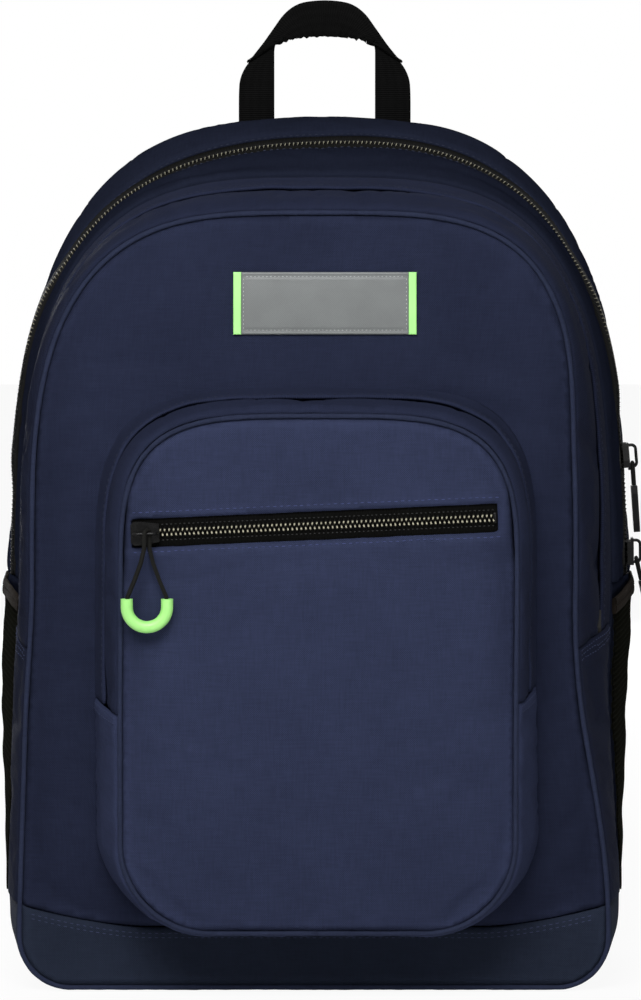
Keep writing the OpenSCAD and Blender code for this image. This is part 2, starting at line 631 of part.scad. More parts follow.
// ==== Badge ====
badge_z = mix(pocket_top, body_h - mid_seam_drop, 0.5) - badge_drop;
module badge_piece(x0, x1, h, t) {
  n = 6;
  g = [for (x = steps(x0, x1, n)) [for (z = steps(badge_z - h / 2, badge_z + h / 2, 3))
    [x, mid_y(x, z) - seam_gap - t, z]]];
  sheet(g, t);
}
plate_half = badge_w / 2 - badge_bar - 0.2;
module badge_plate() color(grey) badge_piece(-plate_half, plate_half, badge_h, badge_t);
module badge_bars() color(lime) both_sides()
  badge_piece(badge_w / 2 - badge_bar, badge_w / 2, badge_h, badge_t + 0.3);

// ==== Mesh pockets on the sides ====
mesh_depths = [22, 34, 48, main_zip_d, 78, 94, 106, main_depth - 1];
function stand_off(d, z) =
  let (s = (d - mesh_depths[0]) / (mesh_depths[7] - mesh_depths[0]))
  0.5 + mesh_t + mesh_stand * sin(180 * pow(s, 3)) * pow((z - boot_h) / (mesh_top - boot_h), 0.6);
function side_point(d, z, off) = let (o = shell_at(d), p = outline(o, u_at(o, z)))
  [p[0] + off, y_back - d, z];
module mesh_sheet() {
  zs = steps(boot_h + 1, mesh_top - binding_h - seam_gap, 5);
  sheet([for (z = zs) [for (d = mesh_depths) side_point(d, z, stand_off(d, z))]], mesh_t);
}
module mesh_band() {
  zs = [mesh_top - binding_h, mesh_top];
  out = binding_t - mesh_t;
  sheet([for (z = zs) [for (d = mesh_depths) side_point(d, z, stand_off(d, z) + out)]], binding_t);
}
module mesh_pocket_right() color(black) mesh_sheet();
module mesh_pocket_left() color(black) mirror([1, 0, 0]) mesh_sheet();
module mesh_binding_right() color(black) mesh_band();
module mesh_binding_left() color(black) mirror([1, 0, 0]) mesh_band();

// ==== Sliders ====
// A slider stands in its own frame: x along the zip with the head at +x, y across, z outward, the middle plane
// of the chain at z = 0.
plate_low = chain_t / 2 + slider_clear;
under_low = -chain_t / 2 - chain_gap - tape_t - slider_clear;
plate_top = plate_low + plate_t;
bail_h = bail_wire / 2 + cord_d + 0.6;
bail_bend = 2.2;
tail_half = chain_w / 2 + slider_clear;
flange_t = 1;
shoulder_x = 2;
module slider_body() {
  s = slider_w / 2;
  outer = [[-slider_l / 2, tail_half + flange_t], [shoulder_x, s], [slider_l / 2 - 1.4, s],
    [slider_l / 2, s - 1.4]];
  both = concat(outer, [for (i = [3:-1:0]) [outer[i][0], -outer[i][1]]]);
  for (z = [plate_low, under_low - plate_t]) translate([0, 0, z]) linear_extrude(plate_t) polygon(both);
  // Flanges beside the coils leave a slot for the tape.
  for (side = [-1, 1]) translate([0, 0, -chain_t / 2 + slider_clear]) scale([1, side, 1])
    linear_extrude(plate_low + chain_t / 2 - slider_clear) polygon([
      outer[0], outer[1], outer[2], [slider_l / 2 - 1.4, s - flange_t], [shoulder_x, s - flange_t],
      [-1.5, tail_half], [-slider_l / 2, tail_half]
    ]);
  // The diamond between the plates parts the two coils.
  translate([slider_l / 2 - 2.6, 0, under_low]) linear_extrude(plate_low - under_low)
    polygon([[-1.7, 0], [0, 0.95], [1.6, 0.6], [1.6, -0.6], [0, -0.95]]);
}
module bail() translate([0, 0, plate_top]) {
  leg = (slider_l - bail_wire) / 2 - 0.6;
  for (side = [-1, 1]) {
    translate([side * leg, 0, -0.2]) cylinder(d = bail_wire, h = bail_h - bail_bend + 0.2);
    translate([side * (leg - bail_bend), 0, bail_h - bail_bend]) rotate([90, 0, 0])
      rotate([0, 0, side > 0 ? 0 : 90]) rotate_extrude(angle = 90)
        translate([bail_bend, 0]) circle(d = bail_wire);
  }
  translate([bail_bend - leg, 0, bail_h]) rotate([0, 90, 0])
    cylinder(d = bail_wire, h = 2 * (leg - bail_bend));
}
// The slider of a covered zip has a short lug with an eye in place of the bail.
module lug() difference() {
  translate([-slider_l / 2 - 7, -2.2, plate_low]) cube([8, 4.4, plate_t]);
  translate([-slider_l / 2 - 4.6, 0, 0]) cylinder(d = 2, h = 10);
}
// Place on the right side of a zip at height z, with local x pointing down and local z outward.
function side_lean(o, z) = let (a = outline(o, u_at(o, z - 1)), b = outline(o, u_at(o, z + 1)))
  atan((a[0] - b[0]) / 2);
main_zip_line = shell_at(main_zip_d, chain_in);
mid_zip_line = shell_at(mid_zip_mid, hidden_chain_in);
pocket_zip_line = pocket_at(pocket_zip_v, hidden_chain_in);
module at_height(o, y, z)
  translate([outline(o, u_at(o, z))[0], y, z]) rotate([0, 90 - side_lean(o, z), 0]) children();

slider_x = -face_zip_left + face_slider_at;
module face_slider() color(black) on_face_zip()
  translate([slider_x, zip_sink, 0]) rotate([90, 0, 0]) rotate([0, 0, 180]) {
    slider_body();
    bail();
  }
module upper_slider() color(black) at_height(main_zip_line, y_main_zip, upper_slider_z) {
  slider_body();
  bail();
}
module lower_slider() color(black) at_height(main_zip_line, y_main_zip, lower_slider_z)
  rotate([0, 0, 180]) {
    slider_body();
    bail();
  }
module middle_slider() color(black) at_height(mid_zip_line, y_mid_zip, mid_slider_z)
  rotate([0, 0, 180]) mirror([1, 0, 0]) {
    slider_body();
    lug();
  }
module pocket_slider() color(black) at_height(pocket_zip_line,
  pocket_zip_point(u_at(pocket_zip_line, pocket_slider_z))[1], pocket_slider_z)
  rotate([0, 0, 180]) mirror([1, 0, 0]) {
    slider_body();
    lug();
  }

// ==== Pulls ====
// A pull hangs down from the origin: x sideways, y inward. Its cord is one closed loop through the grip.
wrap_r = (bail_wire + cord_d) / 2 + 0.1;
grip_leg = 4;
function bend_points() = [for (a = [180:30:360]) [grip_bend * cos(a), 0, grip_bend * sin(a) - pull_l]];
function leg_points(s, y) = [
  [s * grip_bend * 0.96, 0, grip_leg + 1 - pull_l],
  [s * grip_bend * 0.62, y * 0.3, grip_leg + 9 - pull_l],
  [s * grip_bend * 0.3, y * 0.8, -pull_l * 0.4],
  [s * 1.25, y, -7]
];
function reversed(v) = [for (i = [len(v) - 1:-1:0]) v[i]];
// Wrapped round a bail that lies across the pull.
function wrapped_cord() = concat(
  bend_points(), leg_points(1, wrap_r),
  [for (a = [0:45:180]) [1.25 * cos(a), wrap_r * cos(a), wrap_r * sin(a)]],
  reversed(leg_points(-1, -wrap_r))
);
skew = unit([0.6, 0.6, 0.53]);
module loop_cord() sweep(wrapped_cord(), [round_section(cord_d / 2, 6)], skew, true);
module loop_grip() translate([0, 0, -pull_l]) {
  bore = cord_d + 0.5;
  // The bend's two quarters, then the straight ends.
  for (turn = [180, 270]) rotate([90, 0, 0]) rotate([0, 0, turn])
    rotate_extrude(angle = 90) translate([grip_bend, 0]) difference() {
      circle(d = grip_d);
      circle(d = bore);
    }
  for (side = [-1, 1]) translate([side * grip_bend, 0, 0]) difference() {
    cylinder(d = grip_d, h = grip_leg);
    translate([0, 0, -1]) cylinder(d = bore, h = grip_leg + 2);
  }
}
face_pull_x = slider_x + 1;
module at_face_pull() translate([
    face_pull_x * cos(face_zip_slant), zip_y + zip_sink - plate_top - bail_h,
    face_zip_z + face_pull_x * sin(face_zip_slant)
  ]) children();
module face_pull_cord() color(black) at_face_pull() loop_cord();
module face_pull_grip() color(lime) at_face_pull() loop_grip();

// A side pull is a short cord through the bail with a moulded tab; the lower one leans out over the mesh
// pocket.
upper_lean = 4;
lower_lean = 13;
tab_from = 12;
leg_half = 2.2;
module short_cord() sweep(concat(
    [for (z = [seam_gap - tab_from, -8, -5]) [-leg_half, 0, z]],
    [for (a = [180:-45:0]) [leg_half * cos(a), 0, leg_half * (sin(a) - 1)]],
    [for (z = [-5, -8, seam_gap - tab_from]) [leg_half, 0, z]]
  ), [round_section(cord_d / 2, 6)], [0, 1, 0]);
module pull_tab() translate([0, 0, -tab_from]) rotate([90, 0, 0]) translate([0, 0, -tab_t / 2])
  linear_extrude(tab_t) polygon([
    [-3.6, 0], [3.6, 0], [4.2, -4], [3.4, -tab_l + 5], [2.2, 1 - tab_l], [1, -tab_l],
    [-1, -tab_l], [-2.2, 1 - tab_l], [-3.4, -tab_l + 5], [-4.2, -4]
  ]);
cord_seat_x = (slider_l - bail_wire) / 2 - 0.6 - bail_wire / 2 - cord_d / 2 - 0.2;
cord_seat_z = plate_top + cord_d / 2 + 0.3;
module at_side_pull(z, lean) {
  p = outline(main_zip_line, u_at(main_zip_line, z));
  a = side_lean(main_zip_line, z);
  translate([p[0] + cord_seat_z * cos(a) + cord_seat_x * sin(a), y_main_zip,
      z + cord_seat_z * sin(a) - cord_seat_x * cos(a)])
    rotate([0, -lean, 0]) rotate([0, 0, 90]) children();
}
module upper_pull_cord() color(black) at_side_pull(upper_slider_z, upper_lean) short_cord();
module upper_pull_tab() color(black) at_side_pull(upper_slider_z, upper_lean) pull_tab();
module lower_pull_cord() color(black) at_side_pull(lower_slider_z, lower_lean) short_cord();
module lower_pull_tab() color(black) at_side_pull(lower_slider_z, lower_lean) pull_tab();

// ==== Haul loop and the yoke it is sewn to ====
yoke_y = y_back + 2;
yoke_t = loop_t;
yoke_top = crown_z(0) - 4;
loop_hinge_z = crown_z(0) + 2.5;
loop_y = yoke_y + loop_t / 2;
loop_turn = 0.3;
// Right side of the loop's outline and of its window, from the foot to the middle, as shares of the outline's
// half width and rise: the webbing turns at a slanted fold above each leg.
loop_side = [[1, 0], [1, 0.3], [0.98, 0.4], [0.91, 0.49], [0.735, 0.635], [0.595, 0.775], [0.47, 0.895],
  [0.315, 0.972], [0.155, 0.995], [0, 1]];
window_side = [[1, 0], [1, 0.56], [0.985, 0.64], [0.92, 0.672], [0.7, 0.695], [0.35, 0.71], [0, 0.715]];
function both_ways(side) = let (n = len(side) - 1)
  concat(side, [for (i = [n - 1:-1:0]) [-side[i][0], side[i][1]]]);
module haul_loop() color(black) translate([0, loop_y, loop_hinge_z]) {
  inner = loop_w / 2 - loop_web;
  rotate([90, 0, 0]) translate([0, 0, -loop_t / 2]) linear_extrude(loop_t) difference() {
    polygon([for (p = both_ways(loop_side)) [p[0] * loop_w / 2, p[1] * loop_rise]]);
    polygon(concat([for (p = both_ways(window_side)) [p[0] * inner, p[1] * loop_rise]],
      [[-inner, -1], [inner, -1]]));
  }
  both_sides() translate([inner, 0, 0]) rotate([0, 90, 0]) cylinder(d = loop_t, h = loop_web);
}
strap_top_z = body_h - strap_top_drop;
module strap_yoke() color(dark_navy)
  translate([0, yoke_y + yoke_t, 0]) rotate([90, 0, 0]) linear_extrude(yoke_t) {
  w = strap_top_x + pad_w / 2;
  polygon([[-w, strap_top_z - 14], [w, strap_top_z - 14], [w, strap_top_z + 6], [w - 14, yoke_top],
    [14 - w, yoke_top], [-w, strap_top_z + 6]]);
  both_sides() translate([loop_w / 2 - loop_web, yoke_top - 1])
    square([loop_web, loop_hinge_z - loop_t / 2 - loop_turn - yoke_top + 1]);
}

// ==== Shoulder straps ====
// A strap's own frame: origin at its upper end, x sideways, y away from the back, z up along the line
// between its ends.
strap_swing = 12;
strap_stand = pad_t / 2 + pad_w / 3 * sin(strap_swing) + 0.8;
strap_top = [strap_top_x, yoke_y + yoke_t + strap_stand, strap_top_z];
foot_stand = web_w / 2 * sin(strap_swing) + web_t + 1.2;
strap_foot = [strap_foot_x, y_back + back_pad_t / 4 + foot_stand, strap_foot_z];
strap_run = strap_top - strap_foot;
strap_l = norm(strap_run);
strap_out = asin((strap_foot[0] - strap_top[0]) / strap_l);
strap_in = atan(strap_run[1] / strap_run[2]);
module on_strap() translate(strap_top) rotate([-strap_in, 0, 0]) rotate([0, -strap_out, 0]) children();
pad_l = strap_l * 0.7;
function bow_at(u) = strap_bow * pow(sin(180 * max(0, u - 2) / strap_l), 1.1);
pad_end_y = bow_at(pad_l);
lower_l = norm([strap_l - pad_l, pad_end_y]);
lower_slope = atan(pad_end_y / (strap_l - pad_l));
module strap_pad() {
  us = [0, 2, 10, 30, 50, 75, 105, 135, 165, 190, pad_l - 22, pad_l - 8, pad_l];
  path = [for (u = us) [0, bow_at(u), -u]];
  sections = [for (u = us)
    flat_section(u < 30 ? mix(pad_w * 0.66, pad_w, u / 30)
      : u > pad_l - 22 ? mix(pad_w, lock_w, (u - pad_l + 22) / 22) : pad_w, pad_t)];
  sweep(path, sections, [1, 0, 0]);
}
// Lower part of the strap: origin at the pad's end, z up along the webbing.
module on_lower() translate([0, pad_end_y, -pad_l]) rotate([-lower_slope, 0, 0]) children();
lock_w = web_w + 8;
lock_t = 4;
bar_d = 3.2;
top_bar_z = -9;
grip_bar_z = -20;
lip_bar_z = -30;
// Flat strip of webbing along a line of [outward, up] points.
function ribbon(pts, t) =
  let (n = len(pts) - 1,
    side = [for (i = [0:n]) let (d = unit(pts[min(i + 1, n)] - pts[max(i - 1, 0)])) [-d[1], d[0]]])
  concat([for (i = [0:n]) pts[i] + side[i] * t / 2], [for (i = [n:-1:0]) pts[i] - side[i] * t / 2]);
module across(w) rotate([90, 0, 90]) translate([0, 0, -w / 2]) linear_extrude(w) children();
module strap_webbing() {
  behind = -(bar_d / 2 + web_t / 2 + 0.3);
  turn = [for (a = [180:-30:0]) -behind * [cos(a), sin(a)] + [0, grip_bar_z]];
  foot = -lower_l;
  // Up behind the lock, over its grip bar and down in front as a free tail.
  across(web_w) polygon(ribbon(concat(
    [[0, foot], [0, foot + 6], [behind, foot + 22], [behind, grip_bar_z - 12]],
    turn,
    [[-behind, grip_bar_z - 8], [1.5 - behind, grip_bar_z - 22], [1.5 - behind, grip_bar_z - 48]]), web_t));
  // Loop from the pad's end round the lock's top bar.
  r = bar_d / 2 + 0.3;
  across(web_w) difference() {
    union() {
      translate([0, top_bar_z]) circle(r + web_t);
      translate([-r - web_t, top_bar_z]) square([2 * (r + web_t), -top_bar_z - 3 * seam_gap]);
    }
    translate([0, top_bar_z]) circle(r);
  }
}
module ladder_lock() {
  rail = (lock_w - web_w) / 2 - 0.8;
  h = top_bar_z - lip_bar_z + 8;
  for (side = [-1, 1]) translate([side * (lock_w - rail) / 2 - rail / 2, -lock_t / 2, lip_bar_z - 4])
    cube([rail, lock_t, h]);
  for (z = [top_bar_z, grip_bar_z]) translate([-lock_w / 2 + 0.5, 0, z]) rotate([0, 90, 0])
    cylinder(d = bar_d, h = lock_w - 1);
  translate([-lock_w / 2 + 0.5, -0.6, lip_bar_z - 3]) cube([lock_w - 1, 1.8, 5]);
}
module strap_pad_right() color(dark_navy) on_strap() strap_pad();
module strap_webbing_right() color(black) on_strap() on_lower() strap_webbing();
module ladder_lock_right() color(black) on_strap() on_lower() ladder_lock();
module strap_pad_left() color(dark_navy) mirror([1, 0, 0]) on_strap() strap_pad();
module strap_webbing_left() color(black) mirror([1, 0, 0]) on_strap() on_lower() strap_webbing();
module ladder_lock_left() color(black) mirror([1, 0, 0]) on_strap() on_lower() ladder_lock();

// Sewn-on wings that hold the straps' ends: the upper ones stand on the yoke, the lower ones on the back.
module strap_wings() color(dark_navy) both_sides() on_strap() {
  back = -strap_stand + 0.4;
  across(pad_w * 0.6) polygon([[back, 2], [back, 16], [pad_t / 2 - 1, 6], [pad_t / 2 - 1, seam_gap],
    [1 - pad_t / 2, seam_gap]]);
  low = -strap_foot[1] + y_back + back_pad_t / 4 + 0.4;
  across(web_w + 6) translate([0, -strap_l]) polygon([[-web_t, -seam_gap], [web_t, -seam_gap],
    [low + 2.4, -14], [low + 2.4, -22], [low, -22], [low, -12]]);
}

back_panel();
main_gusset_rear();
main_gusset_front();
side_panels();
boot();
base_panel();
main_zip_tape();
main_zip_chain();
main_divider();
middle_flap();
middle_gusset();
middle_side_panels();
middle_zip_tape();
middle_zip_chain();
middle_face();
middle_piping();
pocket_flap();
pocket_gusset();
pocket_gusset_lower();
pocket_zip_tape();
pocket_zip_chain();
pocket_face();
pocket_piping();
face_zip_tape();
face_zip_coils();
badge_plate();
badge_bars();
mesh_pocket_right();
mesh_pocket_left();
mesh_binding_right();
mesh_binding_left();
strap_yoke();
strap_wings();
face_slider();
face_pull_cord();
face_pull_grip();
upper_slider();
upper_pull_cord();
upper_pull_tab();
lower_slider();
lower_pull_cord();
lower_pull_tab();
middle_slider();
pocket_slider();
haul_loop();
strap_pad_right();
strap_webbing_right();
ladder_lock_right();
strap_pad_left();
strap_webbing_left();
ladder_lock_left();
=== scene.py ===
import math

import bmesh
import bpy
import numpy as np
from mathutils import Matrix, Vector
from mathutils.bvhtree import BVHTree
from mathutils.geometry import delaunay_2d_cdt
from mathutils.kdtree import KDTree


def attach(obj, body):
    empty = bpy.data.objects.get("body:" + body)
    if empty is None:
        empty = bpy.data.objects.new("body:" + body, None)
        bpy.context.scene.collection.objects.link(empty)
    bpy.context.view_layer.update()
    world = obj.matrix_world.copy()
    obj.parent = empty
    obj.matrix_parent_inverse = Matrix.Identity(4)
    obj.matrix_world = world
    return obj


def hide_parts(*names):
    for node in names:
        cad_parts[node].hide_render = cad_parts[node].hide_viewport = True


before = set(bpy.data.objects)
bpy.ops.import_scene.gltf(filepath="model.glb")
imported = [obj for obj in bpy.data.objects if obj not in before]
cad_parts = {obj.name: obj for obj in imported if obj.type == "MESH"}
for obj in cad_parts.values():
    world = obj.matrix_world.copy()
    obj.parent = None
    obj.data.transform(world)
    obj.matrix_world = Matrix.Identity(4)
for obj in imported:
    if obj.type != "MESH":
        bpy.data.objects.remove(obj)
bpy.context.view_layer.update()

# All shapes are worked out in millimetres in the frame's own axes and turned into metres when a mesh is made.
MM = 0.001
scene = bpy.context.scene
SIDES = ((1, "right"), (-1, "left"))

def linked(name, data):
    """A new object in the scene."""
    ob = bpy.data.objects.new(name, data)
    scene.collection.objects.link(ob)
    return ob


# ---- Camera: level with the middle of the bag, a little above it, from three metres.
CAM_ELEVATION = math.radians(4.0)
CAM_DISTANCE, CAM_LENS = 3.0, 210.6
CAM_TARGET = Vector((0.0008, 0.0, 0.2408))
cam_data = bpy.data.cameras.new("camera")
cam_data.sensor_width = 36.0
cam_data.lens = CAM_LENS
cam_data.clip_start, cam_data.clip_end = 0.1, 50.0
camera = linked("camera", cam_data)
camera.location = CAM_TARGET + CAM_DISTANCE * Vector((0.0, -math.cos(CAM_ELEVATION), math.sin(CAM_ELEVATION)))
camera.rotation_euler = (math.pi / 2 - CAM_ELEVATION, 0.0, 0.0)
scene.camera = camera

# ---- Sizes of the frame, as in the part's source.
BODY_W, BODY_H, CROWN_D, ARCH_Z, BOOT_H, BASE_FLAT = 322.0, 436.0, 35.0, 170.0, 34.0, 122.0
SEAM_GAP, PIPING_R = 0.3, 1.9
MAIN_DEPTH, MAIN_ZIP_D, MAIN_ZIP_END, MAIN_ZIP_DROP = 118.0, 62.0, 201.0, 12.5
MAIN_SEAM_DROP, MAIN_SEAM_INSET = 28.0, 12.0
MID_DEPTH, MID_SEAM_DROP, MID_SEAM_INSET, MID_SWELL, MID_ZIP_D, MID_ZIP_END = 46.0, 45.0, 24.0, 10.0, 13.0, 172.0
POCKET_W, POCKET_TOP, POCKET_DEPTH, POCKET_DRAFT, POCKET_CORNER = 221.0, 305.0, 40.0, 11.5, 46.0
POCKET_SWELL, POCKET_ZIP_D, POCKET_ZIP_END, POCKET_N, POCKET_SPRING = 4.0, 12.5, 150.0, 3.9, 200.0
TAPE_W, CHAIN_W, PITCH, SLIDER_ROOM = 14.0, 6.4, 2.2, 9.0
FACE_ZIP_Z, FACE_ZIP_SLANT, FACE_ZIP_LEFT, FACE_ZIP_RIGHT = 237.0, math.radians(2.5), 93.0, 88.0
FLAP_REACH, HIDDEN_SINK = 4.5, 7.0
ZIP_COS, ZIP_SIN = math.cos(FACE_ZIP_SLANT), math.sin(FACE_ZIP_SLANT)
MID_FACE_D = MAIN_DEPTH + MID_DEPTH
Y_BACK, Y_MID = MID_FACE_D / 2, -MID_FACE_D / 2
Y_POCKET = Y_MID - POCKET_DEPTH
MID_REAR_D = MAIN_DEPTH + 2.25
MID_ZIP_MID = MAIN_DEPTH + MID_ZIP_D
ZIP_EDGE = TAPE_W / 2
ZIP_REAR_D, ZIP_FRONT_D = MAIN_ZIP_D - ZIP_EDGE, MAIN_ZIP_D + ZIP_EDGE
SEAM_EDGE = PIPING_R + SEAM_GAP
MID_FRONT_D, POCKET_FRONT_V = MID_FACE_D - SEAM_EDGE + 1.2, 1 - (SEAM_EDGE - 1.2) / POCKET_DEPTH


def table(x, *pairs):
    """Value at x on the straight lines between (x, value) pairs."""
    return float(np.interp(x, [p[0] for p in pairs], [p[1] for p in pairs]))


def shell_at(d, inset=0.0):
    """Outline of the bag at depth d from the back seam: half width, foot, spring, crown, exponent, foot z, corner."""
    half = table(d, (0, BODY_W / 2 - 5), (CROWN_D, BODY_W / 2), (MAIN_ZIP_D, BODY_W / 2 - 0.5),
                 (MAIN_DEPTH, BODY_W / 2 - MAIN_SEAM_INSET), (MID_FACE_D, BODY_W / 2 - MID_SEAM_INSET))
    foot = table(d, (0, BODY_W / 2 - 5), (CROWN_D, BODY_W / 2 - 1.5), (MAIN_DEPTH, BODY_W / 2 - MAIN_SEAM_INSET / 2),
                 (MID_FACE_D, BODY_W / 2 - MID_SEAM_INSET / 2))
    crown = table(d, (0, BODY_H - 7), (CROWN_D, BODY_H), (ZIP_REAR_D, BODY_H - MAIN_ZIP_DROP + 1.2),
                  (ZIP_FRONT_D, BODY_H - MAIN_ZIP_DROP - 1.2), (MAIN_DEPTH, BODY_H - MAIN_SEAM_DROP),
                  (MID_FACE_D, BODY_H - MID_SEAM_DROP))
    spring = table(d, (MAIN_DEPTH, ARCH_Z), (MID_FACE_D, ARCH_Z + 30))
    n = table(d, (MAIN_ZIP_D, 3.0), (MID_FACE_D, 3.6))
    return (half - inset, foot - inset, spring, crown - inset, n, inset, foot - BASE_FLAT - inset)


def pocket_at(v, inset=0.0):
    """Outline of the front pocket at share v of its depth, given as shell_at gives the bag's."""
    w = POCKET_W / 2 - v * POCKET_DRAFT - inset
    return (w, w, POCKET_SPRING, POCKET_TOP - v * (POCKET_DRAFT + 1.5) - inset, POCKET_N,
            BOOT_H + 1 - v * 2 + inset, POCKET_CORNER + 4 * (1 - v) - inset)


def outline(o, u):
    """Point (x, z) of an outline: u is 0 at the foot's middle, 1 to 2 the corner, 3 the spring, 4 the crown."""
    u %= 8
    if u > 4:
        x, z = outline(o, 8 - u)
        return -x, z
    half, foot, spring, crown, n, low, r = o
    if u <= 1:
        return (foot - r) * u, low
    if u <= 2:
        a = math.pi / 2 * (u - 1)
        return foot - r + r * math.sin(a), low + r - r * math.cos(a)
    if u <= 3:
        v = u - 2
        return foot + (half - foot) * v * v * (3 - 2 * v), low + r + (spring - low - r) * v
    v = u - 3
    a = math.pi / 2 * v ** (n / 2) / (v ** (n / 2) + (1 - v) ** (n / 2)) if v < 1 else math.pi / 2
    return half * max(0.0, math.cos(a)) ** (2 / n), spring + (crown - spring) * math.sin(a) ** (2 / n)


def whole(o, n):
    """Points all round an outline."""
    return [outline(o, u) for u in np.linspace(0, 8, n)[:-1]]


def u_at(o, z):
    """The u of an outline's point on the right at height z."""
    half, foot, spring, crown, n, low, r = o
    if z < low + r:
        return 1 + math.acos(max(-1.0, 1 - (z - low) / r)) * 2 / math.pi
    if z < spring:
        return 2 + (z - low - r) / (spring - low - r)
    s = math.asin(min(1.0, (z - spring) / (crown - spring)) ** (n / 2)) * 2 / math.pi
    g = (s / max(1e-9, 1 - s)) ** (2 / n)
    return 3 + g / (1 + g)


def swell(o, x, z, p):
    """Share of a panel's swell at (x, z): 1 in its middle and 0 at its outline, flatter in the middle as p grows."""
    half, foot, spring, crown, n, low, r = o
    if z > spring:
        m = ((abs(x) / half) ** n + ((z - spring) / (crown - spring)) ** n) ** (1 / n)
    else:
        w = foot + (half - foot) * (z - low) / (spring - low)
        m = ((abs(x) / w) ** 8 + ((spring - z) / (spring - low)) ** 8) ** (1 / 8)
    return max(0.0, 1 - m ** p)


FACE_EDGE = 2 * PIPING_R + SEAM_GAP + 0.6
MID_PANEL = list(shell_at(MID_FACE_D, FACE_EDGE))
MID_PANEL[5] = BOOT_H
POCKET_PANEL = pocket_at(1, FACE_EDGE)


def mid_y(x, z):
    return Y_MID - MID_SWELL * swell(MID_PANEL, x, max(z, BOOT_H), 2.5)


def pocket_y(x, z):
    return Y_POCKET - POCKET_SWELL * swell(POCKET_PANEL, x, z, 6)


ZIP_Y = pocket_y(0, FACE_ZIP_Z)


def shell_point(d, u, inset=0.0):
    x, z = outline(shell_at(d, inset), u)
    return x, Y_BACK - d, z


def pocket_point(v, u, inset=0.0):
    x, z = outline(pocket_at(v, inset), u)
    bx, bz = outline(pocket_at(0), u)
    return x, (1 - v) * (mid_y(bx, bz) - 3 * SEAM_GAP) + v * Y_POCKET, z


# ---- The filled bag leans: its front sits to the left at half height, and the crown a little to the right.
def ramp(x, a, b):
    """0 up to a and 1 from b on, with a soft climb between them."""
    t = min(1.0, max(0.0, (x - a) / (b - a)))
    return t * t * (3 - 2 * t)


LEAN_MID, LEAN_TOP, LEAN_LOW, SHOULDER, LEFT_FULL = -7.5, 1.5, -2.5, 1.5, -4.5


def lean(x, y, z):
    """Sideways shift of the cloth at a point; none at the zips' sliders and on the front pocket's face."""
    front = ramp(-y, 44, 82) * (1 - ramp(-y, 84, 120))
    mid = ramp(z, 40, 200) * (1 - ramp(z, 262, 400))
    wide = SHOULDER * ramp(z, 270, 340) * (1 - ramp(z, 390, 415)) * ramp(abs(x), 20, 60)
    # On the left the middle compartment's side stands out as far as the front gusset behind it.
    full = LEFT_FULL * ramp(-x, 90, 140) * ramp(-y, 34, 42) * (1 - ramp(-y, 52, 82)) * mid
    return (LEAN_MID * front * mid + LEAN_TOP * ramp(z, 350, 425) + LEAN_LOW * (1 - ramp(z, 130, 210)) +
            math.copysign(wide, x) + full)


def lift(x, y, z):
    """Upward shift of the main zip and the cloth beside it: it rides high in the middle and sags at the shoulders."""
    near = ramp(y, -30, 13) * (1 - ramp(y, 27, 50)) * ramp(z, 300, 360)
    if not near:
        return 0.0
    rise = 2.2 * math.exp(-((x - 20) / 60) ** 2)
    sag = (3.2 * math.exp(-((x + 118) / 32) ** 2) + 2.0 * math.exp(-((x + 70) / 40) ** 2) +
           1.2 * math.exp(-((x - 118) / 26) ** 2))
    return near * (rise - sag)


def leaned(P, share=1.0):
    """Grid or list of points with a share of the lean added to x, and the zip's lift to z."""
    Q = np.array(P, dtype=float)
    flat = Q.reshape(-1, 3)
    flat[:] += [(share * lean(*p), 0.0, share * lift(*p)) for p in flat]
    return Q


# ---- Smooth, repeatable irregularity.
def waves(s, seed, longest, shortest, count=9):
    """Sum of sines of s with seeded phases; wavelengths in millimetres; about -1 to 1."""
    r = np.random.RandomState(seed)
    s = np.asarray(s, dtype=float)
    total = np.zeros_like(s)
    for k in range(count):
        length = longest * (shortest / longest) ** (k / max(1, count - 1)) * r.uniform(0.9, 1.1)
        total += np.sin(2 * np.pi * s / length + r.uniform(0, 2 * np.pi)) * r.uniform(0.6, 1.0)
    return total / math.sqrt(count)


def unit(v):
    v = np.asarray(v, dtype=float)
    return v / np.maximum(1e-12, np.linalg.norm(v, axis=-1, keepdims=True))


def lengths(P):
    """How far along its polyline each point lies."""
    return np.concatenate([[0], np.cumsum(np.linalg.norm(np.diff(P, axis=0), axis=1))])


def spread(P, n):
    """n points evenly spaced along a polyline."""
    s = lengths(P)
    t = np.linspace(0, s[-1], n)
    return np.stack([np.interp(t, s, P[:, k]) for k in range(P.shape[1])], axis=1)


def resampled(points, pitch, closed=False):
    """The polyline's points again, evenly spaced at about pitch."""
    P = np.asarray(points, dtype=float)
    if closed:
        P = np.vstack([P, P[:1]])
    Q = spread(P, max(2, int(round(lengths(P)[-1] / pitch))) + 1)
    return Q[:-1] if closed else Q


